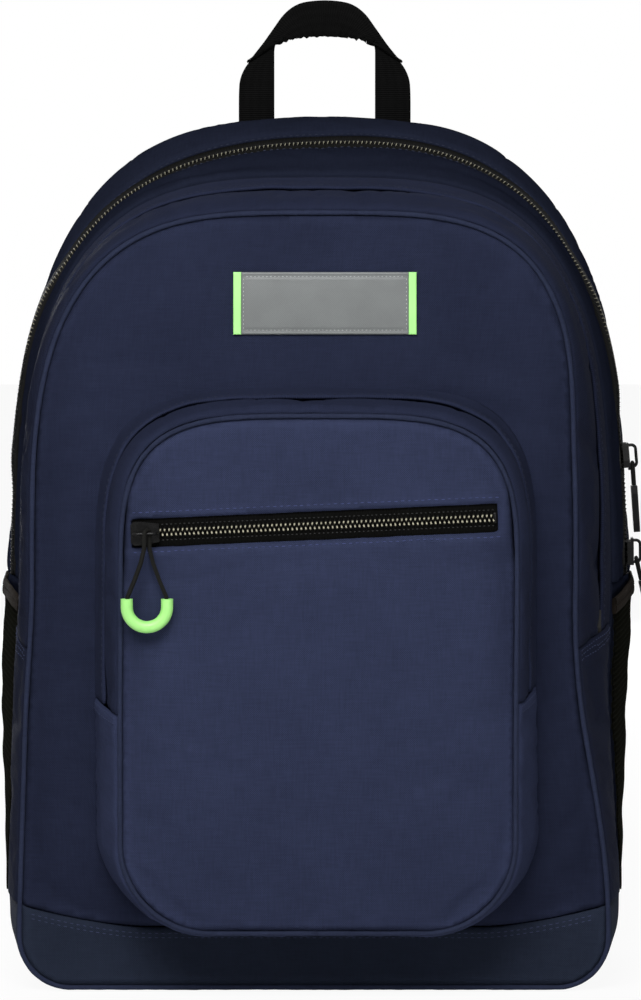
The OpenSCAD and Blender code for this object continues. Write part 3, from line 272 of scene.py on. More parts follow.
# ==== Cloth patches: a mesh with a flat pattern (UV in metres), its distance to the seams and a place along them ====
class Patch:
    """Cloth in millimetres: edge is each point's distance to the seams, along its place on them, pin if it is held.

    hem is the distance to a free edge, the painted shade attribute how much painted shade darkens the cloth, sim its
    settling."""

    def __init__(self, name, V, F, UV, edge, along, pin, body="bag"):
        self.name, self.V, self.F, self.UV = name, np.array(V, dtype=float), F, np.array(UV, dtype=float)
        self.edge, self.along, self.pin, self.body = np.array(edge), np.array(along), np.array(pin, bool), body
        self.sim = None
        self.hem = np.full(len(self.V), 99.0)
        self.painted_shade = 0.0

    def normals(self):
        N = np.zeros_like(self.V)
        for size in (3, 4):
            F = np.array([f for f in self.F if len(f) == size])
            if len(F):
                n = np.cross(self.V[F[:, 1]] - self.V[F[:, 0]], self.V[F[:, size - 1]] - self.V[F[:, 0]])
                for k in range(size):
                    np.add.at(N, F[:, k], n)
        return unit(N)

    def push(self, amount):
        self.V += self.normals() * np.asarray(amount)[:, None]
        return self

    def away(self, reach):
        """0 at the seams, rising to 1 at reach from them."""
        return np.clip(self.edge / reach, 0, 1)

    def uneven(self, seed, size, height):
        """Soft, broad unevenness of cloth over its filling, none at the seams."""
        r = np.random.RandomState(seed)
        total = np.zeros(len(self.V))
        for _ in range(7):
            direction = unit(r.normal(size=3))
            length = size * r.uniform(0.7, 1.6)
            bend = 9 * np.sin(self.V @ unit(r.normal(size=3)) / size * 3 + r.uniform(0, 6))
            total += np.sin((self.V @ direction + bend) * 2 * np.pi / length + r.uniform(0, 6.28))
        return self.push(height * total / math.sqrt(7) * self.away(12))

    def rolled(self, depth=1.1, reach=2.6):
        """Turns the cloth inward where it goes into a seam."""
        t = np.clip(1 - self.edge / reach, 0, 1)
        return self.push(-depth * t * t)

    def puckered(self, seed, height):
        """Small ripples across the seam, dying out away from it, stronger in some stretches than in others."""
        fade = np.exp(-self.edge / 7) * self.away(1.2)
        strength = 0.65 + 0.35 * waves(self.along, seed + 1, 210, 60, 4)
        return self.push(height * fade * strength * waves(self.along, seed, 34, 6, 7))

    def creased(self, seed, at, wander, width, depth):
        """A long soft fold that runs along the patch: a valley that wanders across it, with a ridge beside it."""
        n, m = self.shape
        t = np.tile(np.linspace(0, 1, m), n)
        mid = at + wander * waves(self.along, seed, 420, 110, 5)
        strength = np.clip(0.65 + 0.5 * waves(self.along, seed + 1, 300, 90, 4), 0, 1.3)
        r = (t - mid) / width
        return self.push(depth * strength * self.away(5) * (0.8 * np.exp(-(r - 1.3) ** 2) - 1.2 * np.exp(-r * r)))


def grid_patch(name, P, seams="both", body="bag", flip=False, share=1.0):
    """Patch from a grid of points P[i][j]; i runs along the seams and j across, with the outside on the left."""
    P = leaned(P, share)
    n, m = P.shape[:2]
    along = np.concatenate([np.zeros((1, m)), np.cumsum(np.linalg.norm(np.diff(P, axis=0), axis=2), axis=0)])
    across = np.concatenate([np.zeros((n, 1)), np.cumsum(np.linalg.norm(np.diff(P, axis=1), axis=2), axis=1)], axis=1)
    along_mid = np.repeat(along[:, m // 2: m // 2 + 1], m, axis=1)
    far = across[:, -1:] - across
    ends = np.minimum(along_mid, along_mid[-1:] - along_mid)
    edge = {"both": np.minimum(across, far), "low": across, "high": far, "none": far * 0 + 99,
            "all": np.minimum(np.minimum(across, far), ends)}[seams]
    pin = np.zeros((n, m), bool)
    pin[:, 0] = pin[:, -1] = pin[0] = pin[-1] = True
    q = [(i * m + j, (i + 1) * m + j, (i + 1) * m + j + 1, i * m + j + 1) for i in range(n - 1) for j in range(m - 1)]
    if flip:
        q = [f[::-1] for f in q]
    uv = np.stack([along_mid, across], axis=2).reshape(-1, 2)
    patch = Patch(name, P.reshape(-1, 3), q, uv, edge.reshape(-1), along_mid.reshape(-1), pin.reshape(-1), body)
    patch.shape, patch.far = (n, m), far.reshape(-1)
    return patch


def inside(loops, P):
    """Which of the points lie inside a closed polygon and outside its holes."""
    X, Z = P[:, 0], P[:, 1]
    hit = np.zeros(len(P), bool)
    for loop in loops:
        for (x0, z0), (x1, z1) in zip(loop, np.roll(loop, -1, axis=0)):
            if z0 != z1:
                hit ^= ((z0 > Z) != (z1 > Z)) & (X < (x1 - x0) * (Z - z0) / (z1 - z0) + x0)
    return hit


def flat_panel(name, loops, pitch, place, outward=(0, -1, 0), share=1.0):
    """Panel cut from cloth by a loop and its holes, given as (x, z); place turns (x, z) into a point."""
    loops = [np.asarray(resampled(l, pitch, True)) for l in loops]
    rim = np.vstack(loops)
    lo, hi = rim.min(0), rim.max(0)
    rows = np.arange(lo[1] + pitch / 2, hi[1], pitch * 0.866)
    pts = np.array([(x, z) for k, z in enumerate(rows) for x in np.arange(lo[0] + (k % 2) * pitch / 2, hi[0], pitch)])
    pts = pts[inside(loops, pts)]
    tree = KDTree(len(rim))
    for k, p in enumerate(rim):
        tree.insert((p[0], p[1], 0), k)
    tree.balance()
    near = [tree.find((p[0], p[1], 0)) for p in pts]
    ok = np.array([f[2] > pitch * 0.6 for f in near])
    pts, near = pts[ok], [f for f, k in zip(near, ok) if k]
    allp = np.vstack([rim, pts])
    starts = np.cumsum([0] + [len(l) for l in loops])
    edges = [(a + k, a + (k + 1) % (b - a)) for a, b in zip(starts[:-1], starts[1:]) for k in range(b - a)]
    out = delaunay_2d_cdt([Vector(p) for p in allp], edges, [], 0, 1e-6)
    cdt = np.array([tuple(v) for v in out[0]])
    tri = np.array(out[2])
    tri = tri[inside(loops, cdt[tri].mean(axis=1))]
    V = leaned([place(x, z) for x, z in cdt], share)
    a, b, c = V[tri[:, 0]], V[tri[:, 1]], V[tri[:, 2]]
    wrong = np.cross(b - a, c - a) @ np.array(outward, float) < 0
    tri[wrong] = tri[wrong][:, ::-1]
    run = np.concatenate([lengths(l) for l in loops])
    first = len(rim)
    edge = np.concatenate([np.zeros(first), [f[2] for f in near]])
    along = np.concatenate([run, [run[f[1]] for f in near]])
    pin = np.concatenate([np.ones(first, bool), np.zeros(len(near), bool)])
    return Patch(name, V, [tuple(int(k) for k in t) for t in tri], cdt, edge, along, pin)


SETTLE_FRAMES, CLOTH_MASS, CLOTH_STRETCH, CLOTH_SHEAR = 22, 0.25, 12, 4


def simulate(patches):
    """Cloth run on all the patches at once: the seams hold their edges, the filling presses from inside."""
    made = []
    for p in patches:
        mesh = bpy.data.meshes.new("sim_" + p.name)
        mesh.from_pydata((p.V * MM).tolist(), [], p.F)
        ob = linked("sim_" + p.name, mesh)
        group = ob.vertex_groups.new(name="pin")
        group.add(np.nonzero(p.pin)[0].tolist(), 1.0, "REPLACE")
        mod = ob.modifiers.new("Cloth", "CLOTH")
        s = mod.settings
        s.quality, s.mass = 5, CLOTH_MASS
        s.tension_stiffness = s.compression_stiffness = CLOTH_STRETCH
        s.shear_stiffness = CLOTH_SHEAR
        s.bending_stiffness = p.sim["bend"]
        s.vertex_group_mass = "pin"
        s.use_pressure = True
        s.uniform_pressure_force = p.sim["pressure"]
        s.shrink_min = -p.sim["extra"]
        s.effector_weights.gravity = 0.0
        mod.point_cache.frame_start, mod.point_cache.frame_end = 1, SETTLE_FRAMES
        made.append((p, ob))
    for f in range(1, SETTLE_FRAMES + 1):
        scene.frame_set(f)
    graph = bpy.context.evaluated_depsgraph_get()
    for p, ob in made:
        mesh = ob.evaluated_get(graph).data
        co = np.empty(len(mesh.vertices) * 3)
        mesh.vertices.foreach_get("co", co)
        move = co.reshape(-1, 3) / MM - p.V
        far = np.linalg.norm(move, axis=1)
        move *= (np.minimum(far, p.sim["cap"]) / np.maximum(far, 1e-9))[:, None]
        p.V = p.V + move
        bpy.data.meshes.remove(ob.data)
    scene.frame_set(1)


# ==== Objects ====
def make(name, V, F, mat, body, uv=None, wear_and_painted_light=None, nodes=()):
    """Mesh object from points in millimetres; uv is per vertex in millimetres, the last but one a per-vertex value,
    from 0 to 1, of wear with painted highlight and painted shade.
    """
    mesh = bpy.data.meshes.new(name)
    mesh.from_pydata((np.asarray(V, dtype=float) * MM).tolist(), [], [tuple(f) for f in F])
    if uv is not None:
        layer = mesh.uv_layers.new(name="Weave")
        loops = np.empty(len(mesh.loops), dtype=np.int32)
        mesh.loops.foreach_get("vertex_index", loops)
        layer.data.foreach_set("uv", (np.asarray(uv)[loops] * MM).astype(np.float32).ravel())
    if wear_and_painted_light is not None:
        # The attribute holds wear together with painted highlight and painted shade.
        attr = mesh.attributes.new("WearAndPaintedLight", "FLOAT", "POINT")
        attr.data.foreach_set("value", np.asarray(wear_and_painted_light, dtype=np.float32))
    mesh.shade_smooth()
    mesh.materials.append(mat)
    ob = linked(name, mesh)
    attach(ob, body)
    if nodes:
        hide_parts(*nodes)
    return ob


# Strength and reach of the painted highlight along a free hem, and where the seams' worn ridge lies.
HEM_HIGHLIGHT, HEM_REACH, RIDGE_AT, RIDGE_REACH = 2.2, 1.6, 2.4, 2.2


def cloth_object(patch, mat, nodes=(), wall=1.2):
    """The patch as a closed cloth wall; its wear is strongest on the seams' ridges, with a painted highlight along free
    hems and painted shade where it is set.
    """
    ridge = np.exp(-((patch.edge - RIDGE_AT) / RIDGE_REACH) ** 2)
    # Wear on the seams' ridges, a painted highlight along free hems, less the painted shade.
    wear_and_painted_light = np.maximum(ridge, HEM_HIGHLIGHT * np.exp(-(patch.hem / HEM_REACH) ** 2)) - patch.painted_shade
    ob = make(patch.name, patch.V, patch.F, mat, patch.body, patch.UV, wear_and_painted_light, nodes)
    mod = ob.modifiers.new("wall", "SOLIDIFY")
    mod.thickness = wall * MM
    mod.offset = -1.0
    patch.tree = BVHTree.FromPolygons((patch.V * MM).tolist(), patch.F)
    return ob


def joined(parts):
    """Points and faces of several (V, F) or (V, F, UV) meshes as one."""
    V, F, UV, k = [], [], [], 0
    for part in parts:
        V.append(np.asarray(part[0], dtype=float))
        F += [tuple(i + k for i in f) for f in part[1]]
        UV.append(np.asarray(part[2], dtype=float) if len(part) > 2 else np.zeros((len(part[0]), 2)))
        k += len(part[0])
    return np.vstack(V), F, np.vstack(UV)


def sew(name, parts, mat, body="bag", nodes=()):
    """One object of several small meshes, such as a row of stitches."""
    V, F, _ = joined(parts)
    return make(name, V, F, mat, body, nodes=nodes)


def ring_faces(n, sides, closed=False):
    """Faces between n rings of points, capped at the ends unless the last ring joins the first."""
    F = [(i * sides + k, i * sides + (k + 1) % sides, (i + 1) % n * sides + (k + 1) % sides, (i + 1) % n * sides + k)
         for i in range(n if closed else n - 1) for k in range(sides)]
    return F if closed else F + [tuple(range(sides))[::-1], tuple(range((n - 1) * sides, n * sides))]


def tube(path, radius, sides=10, closed=False, section=None, up=None):
    """Tube along a path; radius may be one per point; section scales it across and along up."""
    P = np.asarray(path, dtype=float)
    n = len(P)
    R = np.full(n, radius, dtype=float) if np.isscalar(radius) else np.asarray(radius, dtype=float)
    T = unit((np.roll(P, -1, 0) - np.roll(P, 1, 0)) if closed else np.gradient(P, axis=0))
    if up is None:
        W = np.zeros_like(P)
        w = np.cross(T[0], [0.31, 0.77, 0.55])
        for k in range(n):
            w = w - T[k] * np.dot(w, T[k])
            w = w / np.linalg.norm(w)
            W[k] = w
    else:
        U = np.broadcast_to(np.asarray(up, dtype=float), P.shape)
        W = unit(U - T * np.sum(U * T, axis=1, keepdims=True))
    B = np.cross(T, W)
    a = np.arange(sides) * 2 * np.pi / sides
    sx, sy = section or (1.0, 1.0)
    V = (P[:, None] + R[:, None, None] * (sx * np.cos(a)[None, :, None] * B[:, None] +
                                          sy * np.sin(a)[None, :, None] * W[:, None])).reshape(-1, 3)
    UV = np.stack([np.repeat(lengths(P), sides), np.tile(a, n) * np.repeat(R, sides)], axis=1)
    return V, ring_faces(n, sides, closed), UV


def stitches(points, tree, length=2.3, gap=1.0, r=0.3, lift=0.12):
    """Short raised threads along a line of points in millimetres, laid on the cloth's surface."""
    P = resampled(points, length + gap)
    parts = []
    ring = [(math.cos(a), math.sin(a)) for a in np.arange(5) * 2 * math.pi / 5]
    for a, b in zip(P[:-1], P[1:]):
        ends = []
        for t in (0.06, 0.3, 0.52, 0.72):
            co, n, _, _ = tree.find_nearest(Vector((a + (b - a) * t) * MM))
            if co is None:
                break
            ends.append((np.array(co) / MM, np.array(n)))
        if len(ends) < 4:
            continue
        N = unit(sum(e[1] for e in ends))
        T = unit(ends[3][0] - ends[0][0])
        S = np.cross(T, N)
        V = []
        for (co, _), (h, w) in zip(ends, ((-0.25, 0.55), (lift, 1.0), (lift, 1.0), (-0.25, 0.55))):
            V += [co + N * (h + s * r * w) + S * c * r * w for c, s in ring]
        parts.append((V, ring_faces(4, 5)))
    return parts


# ==== Materials ====
class Look:
    """A material's node tree, written as nested calls."""

    def __init__(self, name, **constants):
        self.mat = bpy.data.materials.new(name)
        self.mat.use_nodes = True
        self.tree = self.mat.node_tree
        self.shader = self.tree.nodes["Principled BSDF"]
        for key, value in constants.items():
            self.shader.inputs[key.replace("_", " ")].default_value = value

    def put(self, kind, props=(), out=0, **inputs):
        """One output of a new node; inputs go by name, or as i0, i1 and so on by number."""
        node = self.tree.nodes.new("ShaderNode" + kind)
        for key, value in props:
            setattr(node, key, value)
        for key, value in inputs.items():
            numbered = key[0] == "i" and key[1:].isdigit()
            socket = node.inputs[int(key[1:]) if numbered else key.replace("_", " ")]
            if hasattr(value, "is_output"):
                self.tree.links.new(value, socket)
            else:
                socket.default_value = value
        return node.outputs[out]

    def math(self, op, a, b=0.0, c=0.0):
        return self.put("Math", [("operation", op)], i0=a, i1=b, i2=c)

    def sum(self, total, *terms):
        for term in terms:
            total = self.math("ADD", total, term)
        return total

    def times(self, a, b):
        return self.math("MULTIPLY", a, b)

    def wave(self, x, turn):
        return self.math("SINE", self.times(x, turn))

    def swing(self, x, size):
        """x, which lies about a half, as a swing about nothing."""
        return self.times(self.math("SUBTRACT", x, 0.5), size)

    def vec(self, scale, source):
        v = self.put("UVMap", [("uv_map", "Weave")]) if source == "uv" else self.put("TexCoord", out=3)
        return self.put("Mapping", Vector=v, Scale=scale)

    def axes(self, source="uv"):
        node = self.tree.nodes.new("ShaderNodeSeparateXYZ")
        self.tree.links.new(self.vec((1, 1, 1), source), node.inputs[0])
        return node.outputs

    def noise(self, scale, source="uv", detail=2.0, roughness=0.5):
        """Noise at one scale, or at one for each axis."""
        vector = self.vec(scale if isinstance(scale, tuple) else (scale, scale, scale), source)
        return self.put("TexNoise", Vector=vector, Scale=1.0, Detail=detail, Roughness=roughness)

    def wear_and_painted_light(self):
        return self.put("Attribute", [("attribute_name", "WearAndPaintedLight")], out=2)

    def ramp(self, x, lo, hi, a=0.0, b=1.0):
        return self.put("MapRange", i0=x, i1=lo, i2=hi, i3=a, i4=b)

    def set(self, name, value):
        self.tree.links.new(value, self.shader.inputs[name])

    def colour(self, t, lo, hi, a, b):
        """Base colour from a to b as t runs from lo to hi."""
        self.set("Base Color", self.put("Mix", [("data_type", "RGBA")], out=2, i0=self.ramp(t, lo, hi), i6=a, i7=b))

    def bump(self, height, distance, strength):
        self.set("Normal", self.put("Bump", Height=height, Distance=distance, Strength=strength))


def rgba(c, k=1.0):
    return (c[0] * k, c[1] * k, c[2] * k, 1.0)


def woven(name, colour, k=1.0, pitch=0.00095, bump=0.0002, contrast=0.8, mottle=0.2, source="uv", sheen=0.01, wear_and_painted_light=0.35,
          spec=0.02):
    """Woven cloth in k times a colour: threads at their pitch, uneven yarn, mottling, rubbed ridges by the seams, and
    painted highlights and painted shade laid in the same attribute.
    """
    colour = rgba(colour, k)[:3]
    k = Look(name, Roughness=0.82, Specular_IOR_Level=spec, Sheen_Weight=sheen, Sheen_Roughness=0.45,
             Sheen_Tint=rgba([min(1.0, c * 3 + 0.3) for c in colour]))
    axes, turn = k.axes(source), 2 * math.pi / pitch
    weft = k.wave(axes[1] if source == "uv" else axes[2], turn)
    weave = k.math("MULTIPLY_ADD", k.times(k.wave(axes[0], turn), weft), 0.5, 0.5)
    scales = ((1000, 90, 1000), (90, 1000, 90)) if source == "uv" else ((1000, 1000, 90), (90, 90, 1000))
    yarn = k.sum(*[k.times(k.noise(scale, source), 0.5) for scale in scales])
    # The attribute's term brings wear, painted highlight and painted shade into the colour.
    shade = k.sum(k.swing(weave, contrast), k.swing(yarn, 0.84), k.swing(k.noise(22, source, 3.0), mottle * 2),
                  k.times(k.wear_and_painted_light(), wear_and_painted_light * 0.5))
    k.colour(shade, -0.5, 0.5, rgba(colour, 0.55), rgba(colour, 1.45))
    k.bump(k.sum(weave, k.times(yarn, 0.8)), bump, 0.9)
    k.set("Roughness", k.ramp(yarn, 0.3, 0.7, 0.74, 0.90))
    return k.mat


def ribbed(name, colour, pitch, axis_pitch=0.0045, bump=0.00022, source="uv", rough=0.7):
    """Narrow webbing or tape: ribs across, finer warp threads along."""
    k = Look(name, Roughness=rough, Specular_IOR_Level=0.02, Sheen_Weight=0.01, Sheen_Roughness=0.5)
    axes = k.axes(source)
    across, along = (axes[0], axes[1]) if source == "uv" else (axes[2], axes[0])
    rib, fuzz = k.wave(across, 2 * math.pi / pitch), k.noise(900, source, 3.0)
    shade = k.sum(k.times(rib, 0.16), k.times(k.wave(along, 2 * math.pi / axis_pitch), 0.10), k.swing(fuzz, 0.5),
                  k.swing(k.noise(60, source), 0.5))
    k.colour(shade, -0.5, 0.5, rgba(colour, 0.5), rgba(colour, 1.6))
    k.bump(k.sum(rib, k.times(fuzz, 0.6)), bump, 0.8)
    return k.mat


def moulded(name, colour, rough=0.4, grain=0.00004, spec=0.5, vary=0.15):
    """Moulded plastic, rubber or enamel: fine grain, slight unevenness, and scuffs that dull it in places."""
    k = Look(name, Roughness=rough, Specular_IOR_Level=spec)
    k.colour(k.noise(70, "object"), 0.3, 0.7, rgba(colour, 1 - vary), rgba(colour, 1 + vary))
    scuff = k.noise((260, 900, 260), "object", 4.0, 0.7)
    k.set("Roughness", k.ramp(scuff, 0.35, 0.7, rough - 0.06, rough + 0.14))
    k.bump(k.noise(700, "object", 3.0), grain, 0.7)
    return k.mat


def coil_look():
    """Zip coil: black nylon with a pale painted highlight on the turns where they stand proud."""
    k = Look("zip_coil", Roughness=0.34, Specular_IOR_Level=0.08)
    fine = k.noise(900, "object")
    # Painted highlight: the attribute turns the crests pale.
    k.colour(k.sum(k.wear_and_painted_light(), k.swing(fine, 0.3)), 0.55, 1.0, (0.006, 0.006, 0.0055, 1.0), (0.50, 0.47, 0.35, 1.0))
    k.set("Roughness", k.ramp(fine, 0.3, 0.7, 0.24, 0.36))
    k.bump(fine, 0.00001, 0.6)
    return k.mat


def reflective_look(name, colour):
    """Reflective film: a fine net of sealed cells under a smooth face."""
    k = Look(name, Roughness=0.36, Specular_IOR_Level=0.4, Metallic=0.1)
    (x, y, _), turn = k.axes(), math.pi / 0.0011
    lines = [k.math("ABSOLUTE", k.wave(k.math(op, x, y), turn)) for op in ("ADD", "SUBTRACT")]
    line = k.math("MINIMUM", *lines)
    shade = k.sum(k.ramp(line, 0.0, 0.3, -0.25, 0.06), k.swing(k.noise(60, detail=3.0), 0.5))
    k.colour(shade, -0.4, 0.4, rgba(colour, 0.72), rgba(colour, 1.28))
    k.bump(line, 0.00004, 0.8)
    return k.mat


NAVY, DARK_NAVY = (0.0270, 0.0335, 0.0700), (0.0170, 0.0210, 0.0400)
navy = woven("navy_cloth", NAVY)
dark = woven("dark_navy_cloth", DARK_NAVY, mottle=0.16)
# Darker copies of the navy cloth, as painted shade: the gussets, sides, divider and middle face, which the light
# reaches less, and the pocket's gusset and flap.
rear_painted_shade_mat = woven("rear_gusset_cloth", DARK_NAVY, 0.72, mottle=0.16, spec=0.0)
front_painted_shade_mat = woven("front_gusset_cloth", DARK_NAVY, 0.70, mottle=0.16, spec=0.0, sheen=0.0)
mid_painted_shade_mat = woven("middle_gusset_cloth", NAVY, 0.53)
pocket_painted_shade_mat = woven("pocket_gusset_cloth", NAVY, 0.58)
back_mat = woven("back_air_mesh", DARK_NAVY, 1.05, pitch=0.0026, bump=0.0005, contrast=0.95, wear_and_painted_light=0.6)
boot_mat = woven("boot_cloth", (0.0165, 0.0215, 0.0370))
face_painted_shade_mat = woven("navy_face_cloth", NAVY, 0.63)
dark_solid = woven("dark_cloth_solid", DARK_NAVY, source="object", wear_and_painted_light=0.0)
piping_mat = woven("piping_cloth", (0.0245, 0.0305, 0.0600), pitch=0.0006, wear_and_painted_light=0.0)
cord_mat = woven("black_cord", (0.014, 0.014, 0.013), pitch=0.0009, source="object", wear_and_painted_light=0.0)
net_mat = woven("mesh_cloth", (0.0070, 0.0072, 0.0048), pitch=0.0005, wear_and_painted_light=0.0)
binding_mat = woven("elastic_binding", (0.0165, 0.0130, 0.0105), pitch=0.0007, wear_and_painted_light=0.2)
thread, seam_thread, back_thread, dark_thread = [moulded(name, colour, 0.7, spec=0.1) for name, colour in (
    ("thread", (0.050, 0.062, 0.150)), ("seam_thread", (0.036, 0.044, 0.090)), ("back_thread", (0.045, 0.052, 0.085)),
    ("dark_thread", (0.019, 0.023, 0.042)))]
black_thread = moulded("black_thread", (0.012, 0.012, 0.012), 0.6)
pale_thread = moulded("pale_thread", (0.42, 0.44, 0.43), 0.6)
enamel = moulded("black_enamel", (0.0035, 0.0035, 0.0035), 0.24, grain=0.00001, spec=0.16)
acetal = moulded("black_plastic", (0.005, 0.005, 0.005), 0.42, spec=0.12)
lime = moulded("lime_rubber", (0.36, 0.80, 0.22), 0.38, vary=0.05)
lime_bar = moulded("lime_print", (0.36, 0.80, 0.24), 0.5, vary=0.05)
tape_mat = ribbed("zip_tape", (0.0036, 0.0036, 0.0034), 0.0008, axis_pitch=0.0011, rough=0.62)
webbing = ribbed("black_webbing", (0.0034, 0.0034, 0.0034), 0.0011, bump=0.00012)
webbing_solid = ribbed("black_webbing_solid", (0.0065, 0.0065, 0.0065), 0.0011, bump=0.00012, source="object")
coil_mat = coil_look()
grey = reflective_look("grey_badge", (0.118, 0.126, 0.126))


# ==== The bag's cloth shell ====
SHELL_PITCH = 2.6


def even_shares(o, z_end, pitch, steps):
    """Shares of the run over the top that give points evenly spaced along an outline."""
    u0 = u_at(o, z_end)
    t = np.linspace(0, 1, steps)
    s = lengths(np.array([outline(o, u0 + (8 - 2 * u0) * k) for k in t]))
    return np.interp(np.linspace(0, s[-1], int(s[-1] / pitch) + 1), s, t)


def end_at(d, z, slope):
    """Height at depth d of a seam across the middle compartment's side, which falls toward the front."""
    return z + slope * (1 - 2 * (d - MID_REAR_D) / (MID_FACE_D - MID_REAR_D))


def over_top(depths, z_end, pitch=SHELL_PITCH, insets=None, slope=0.0):
    """Grid over the top; its ends are at z_end, higher by slope at the back edge and lower by as much at the front."""
    insets = [0.0] * len(depths) if insets is None else insets
    shares = even_shares(shell_at(depths[len(depths) // 2]), z_end, pitch, 1600)
    ends = [end_at(d, z_end, slope) for d in depths]
    columns = [(d, u_at(shell_at(d, k), z), k) for d, k, z in zip(depths, insets, ends)]
    return np.array([[shell_point(d, u + (8 - 2 * u) * t, k) for d, u, k in columns] for t in shares])


def up_side(depths, z_low, z_high, pitch=SHELL_PITCH, slope=0.0):
    """Grid up the right side, from z_low to z_high, its top edge sloping."""
    shares = np.linspace(0, 1, int((z_high - z_low) / pitch) + 1)
    tops = [end_at(d, z_high, slope) for d in depths]
    return np.array([[shell_point(d, u_at(shell_at(d), z_low + (top - z_low) * t)) for d, top in zip(depths, tops)]
                     for t in shares])


def belly(n, height):
    """Outward bulge between two seams, for the columns of a grid."""
    t = np.linspace(0, 1, n)
    return height * np.sin(np.pi * t) ** 0.8


def bulged(patch, height):
    """The patch pushed out between its seams."""
    n, m = patch.shape
    return patch.push(np.tile(belly(m, height), n))


def mirror_patch(patch, name):
    """The patch on the other side; the lean goes the same way on both."""
    P = Patch(name, patch.V * [-1, 1, 1], [f[::-1] for f in patch.F], patch.UV, patch.edge, patch.along, patch.pin)
    P.V[:, 0] += [lean(x, y, z) + lean(-x, y, z) for x, y, z in patch.V]
    P.shape = patch.shape
    return P


def even(a, b, pitch=SHELL_PITCH):
    """Evenly spaced values from a to b, about pitch apart."""
    return np.linspace(a, b, max(2, int(round(abs(b - a) / pitch)) + 1))


# The boot's seam is low in the middle and climbs to the sides.
BOOT_MID, BOOT_SIDE = 32.0, 43.0
OVERLAP_SLOPE, POCKET_SLOPE = 5.0, 3.0
UNDER_FLAP = 3.4  # how far a gusset is drawn in at the edge that a zip or a flap covers
POCKET_OVERLAP_RIGHT, POCKET_OVERLAP_LEFT = 151.5, 145.5


def boot_line(x):
    """Height of the boot's seam."""
    return BOOT_MID + (BOOT_SIDE - BOOT_MID) * (max(0.0, abs(x) - 85) / 62) ** 1.5


rear = bulged(grid_patch("gusset_rear", over_top(even(0, ZIP_REAR_D - 1.6), MAIN_ZIP_END + SEAM_GAP)), 0.7)
front_depths = even(ZIP_FRONT_D - 1.5, MAIN_DEPTH)
front_insets = [UNDER_FLAP * (1 - ramp(d, ZIP_FRONT_D - 3, ZIP_FRONT_D + 22)) for d in front_depths]
front = bulged(grid_patch("gusset_front", over_top(front_depths, MAIN_ZIP_END + SEAM_GAP, insets=front_insets)), 0.4)
side_grid = up_side(even(0, MAIN_DEPTH, 3.2), BOOT_SIDE + 2 * SEAM_GAP, MAIN_ZIP_END, 3.2)
side_right = bulged(grid_patch("side_right", side_grid, "all"), 0.2)
side_left = mirror_patch(side_right, "side_left")
flap_d = MID_ZIP_MID + FLAP_REACH
POCKET_SHARE = 0.2
MID_OVERLAP_Z = MID_ZIP_END + 5
flap_grid = over_top(even(MID_REAR_D, flap_d, 2.2), MID_OVERLAP_Z + SEAM_GAP, slope=OVERLAP_SLOPE)
mid_flap = grid_patch("middle_flap_cloth", flap_grid, "low")
mid_depths = even(flap_d - 3, MID_FRONT_D, 2.0)
mid_insets = [UNDER_FLAP * (1 - ramp(d, flap_d - 1, flap_d + 6)) for d in mid_depths]
mid_grid = over_top(mid_depths, MID_OVERLAP_Z + SEAM_GAP, insets=mid_insets, slope=OVERLAP_SLOPE)
mid_gusset = bulged(grid_patch("middle_gusset_cloth", mid_grid, "high"), 1.2)
mid_side_grid = up_side(even(MID_REAR_D, MID_FRONT_D), BOOT_SIDE + SEAM_GAP, MID_OVERLAP_Z, slope=OVERLAP_SLOPE)
mid_side_right = bulged(grid_patch("middle_side_right", mid_side_grid, "all"), 1.4)

# The large face, cut between its piping and the boot's seam.
RIM_INSET, RIM_SINK = 2.5, 0.4
mid_rim = list(shell_at(MID_FACE_D, RIM_INSET))
u_boot = u_at(mid_rim, BOOT_SIDE + SEAM_GAP)
face_loop = [outline(mid_rim, u) for u in np.linspace(u_boot, 8 - u_boot, 500)]
seam_x = np.linspace(face_loop[-1][0], face_loop[0][0], 120)[1:-1]
face_loop += [(x, boot_line(x) + SEAM_GAP) for x in seam_x]
mid_face = flat_panel("middle_face_cloth", [face_loop], 3.0, lambda x, z: (x, mid_y(x, z) + RIM_SINK, z))

boot_loop = [outline(mid_rim, u) for u in np.linspace(-u_boot, u_boot, 300)]
boot_loop += [(x, boot_line(x) - SEAM_GAP) for x in np.linspace(boot_loop[-1][0], boot_loop[0][0], 120)[1:-1]]
boot = flat_panel("boot_cloth_front", [boot_loop], 2.6, lambda x, z: (x, mid_y(x, z), z))

# Base with its rounded corner pieces, from one boot seam under the bag to the other.
base_depths = even(0, MID_FRONT_D, 4.0)
u_side = [u_at(shell_at(d), BOOT_SIDE) for d in base_depths]
base = grid_patch("base_cloth", np.array([[shell_point(d, -u + 2 * u * t) for d, u in zip(base_depths, u_side)]
                                          for t in np.linspace(0, 1, 130)]), "all")

# ---- Front pocket.
def pocket_ends(v, inset=0.0, gap=0.0):
    """The u of the overlap seams' two points at share v of the pocket's depth, right and left."""
    fall = POCKET_SLOPE * (1 - 2 * v) + gap
    o = pocket_at(v, inset)
    return u_at(o, POCKET_OVERLAP_RIGHT + fall), u_at(o, POCKET_OVERLAP_LEFT + fall)


def over_pocket(vs, insets):
    """Grid over the pocket's top at some shares of its depth."""
    shares = even_shares(pocket_at(vs[len(vs) // 2]), POCKET_ZIP_END, 2.4, 1200)
    columns = [(v, *pocket_ends(v, k, SEAM_GAP), k) for v, k in zip(vs, insets)]
    return np.array([[pocket_point(v, a + (8 - a - b) * t, k) for v, a, b, k in columns] for t in shares])


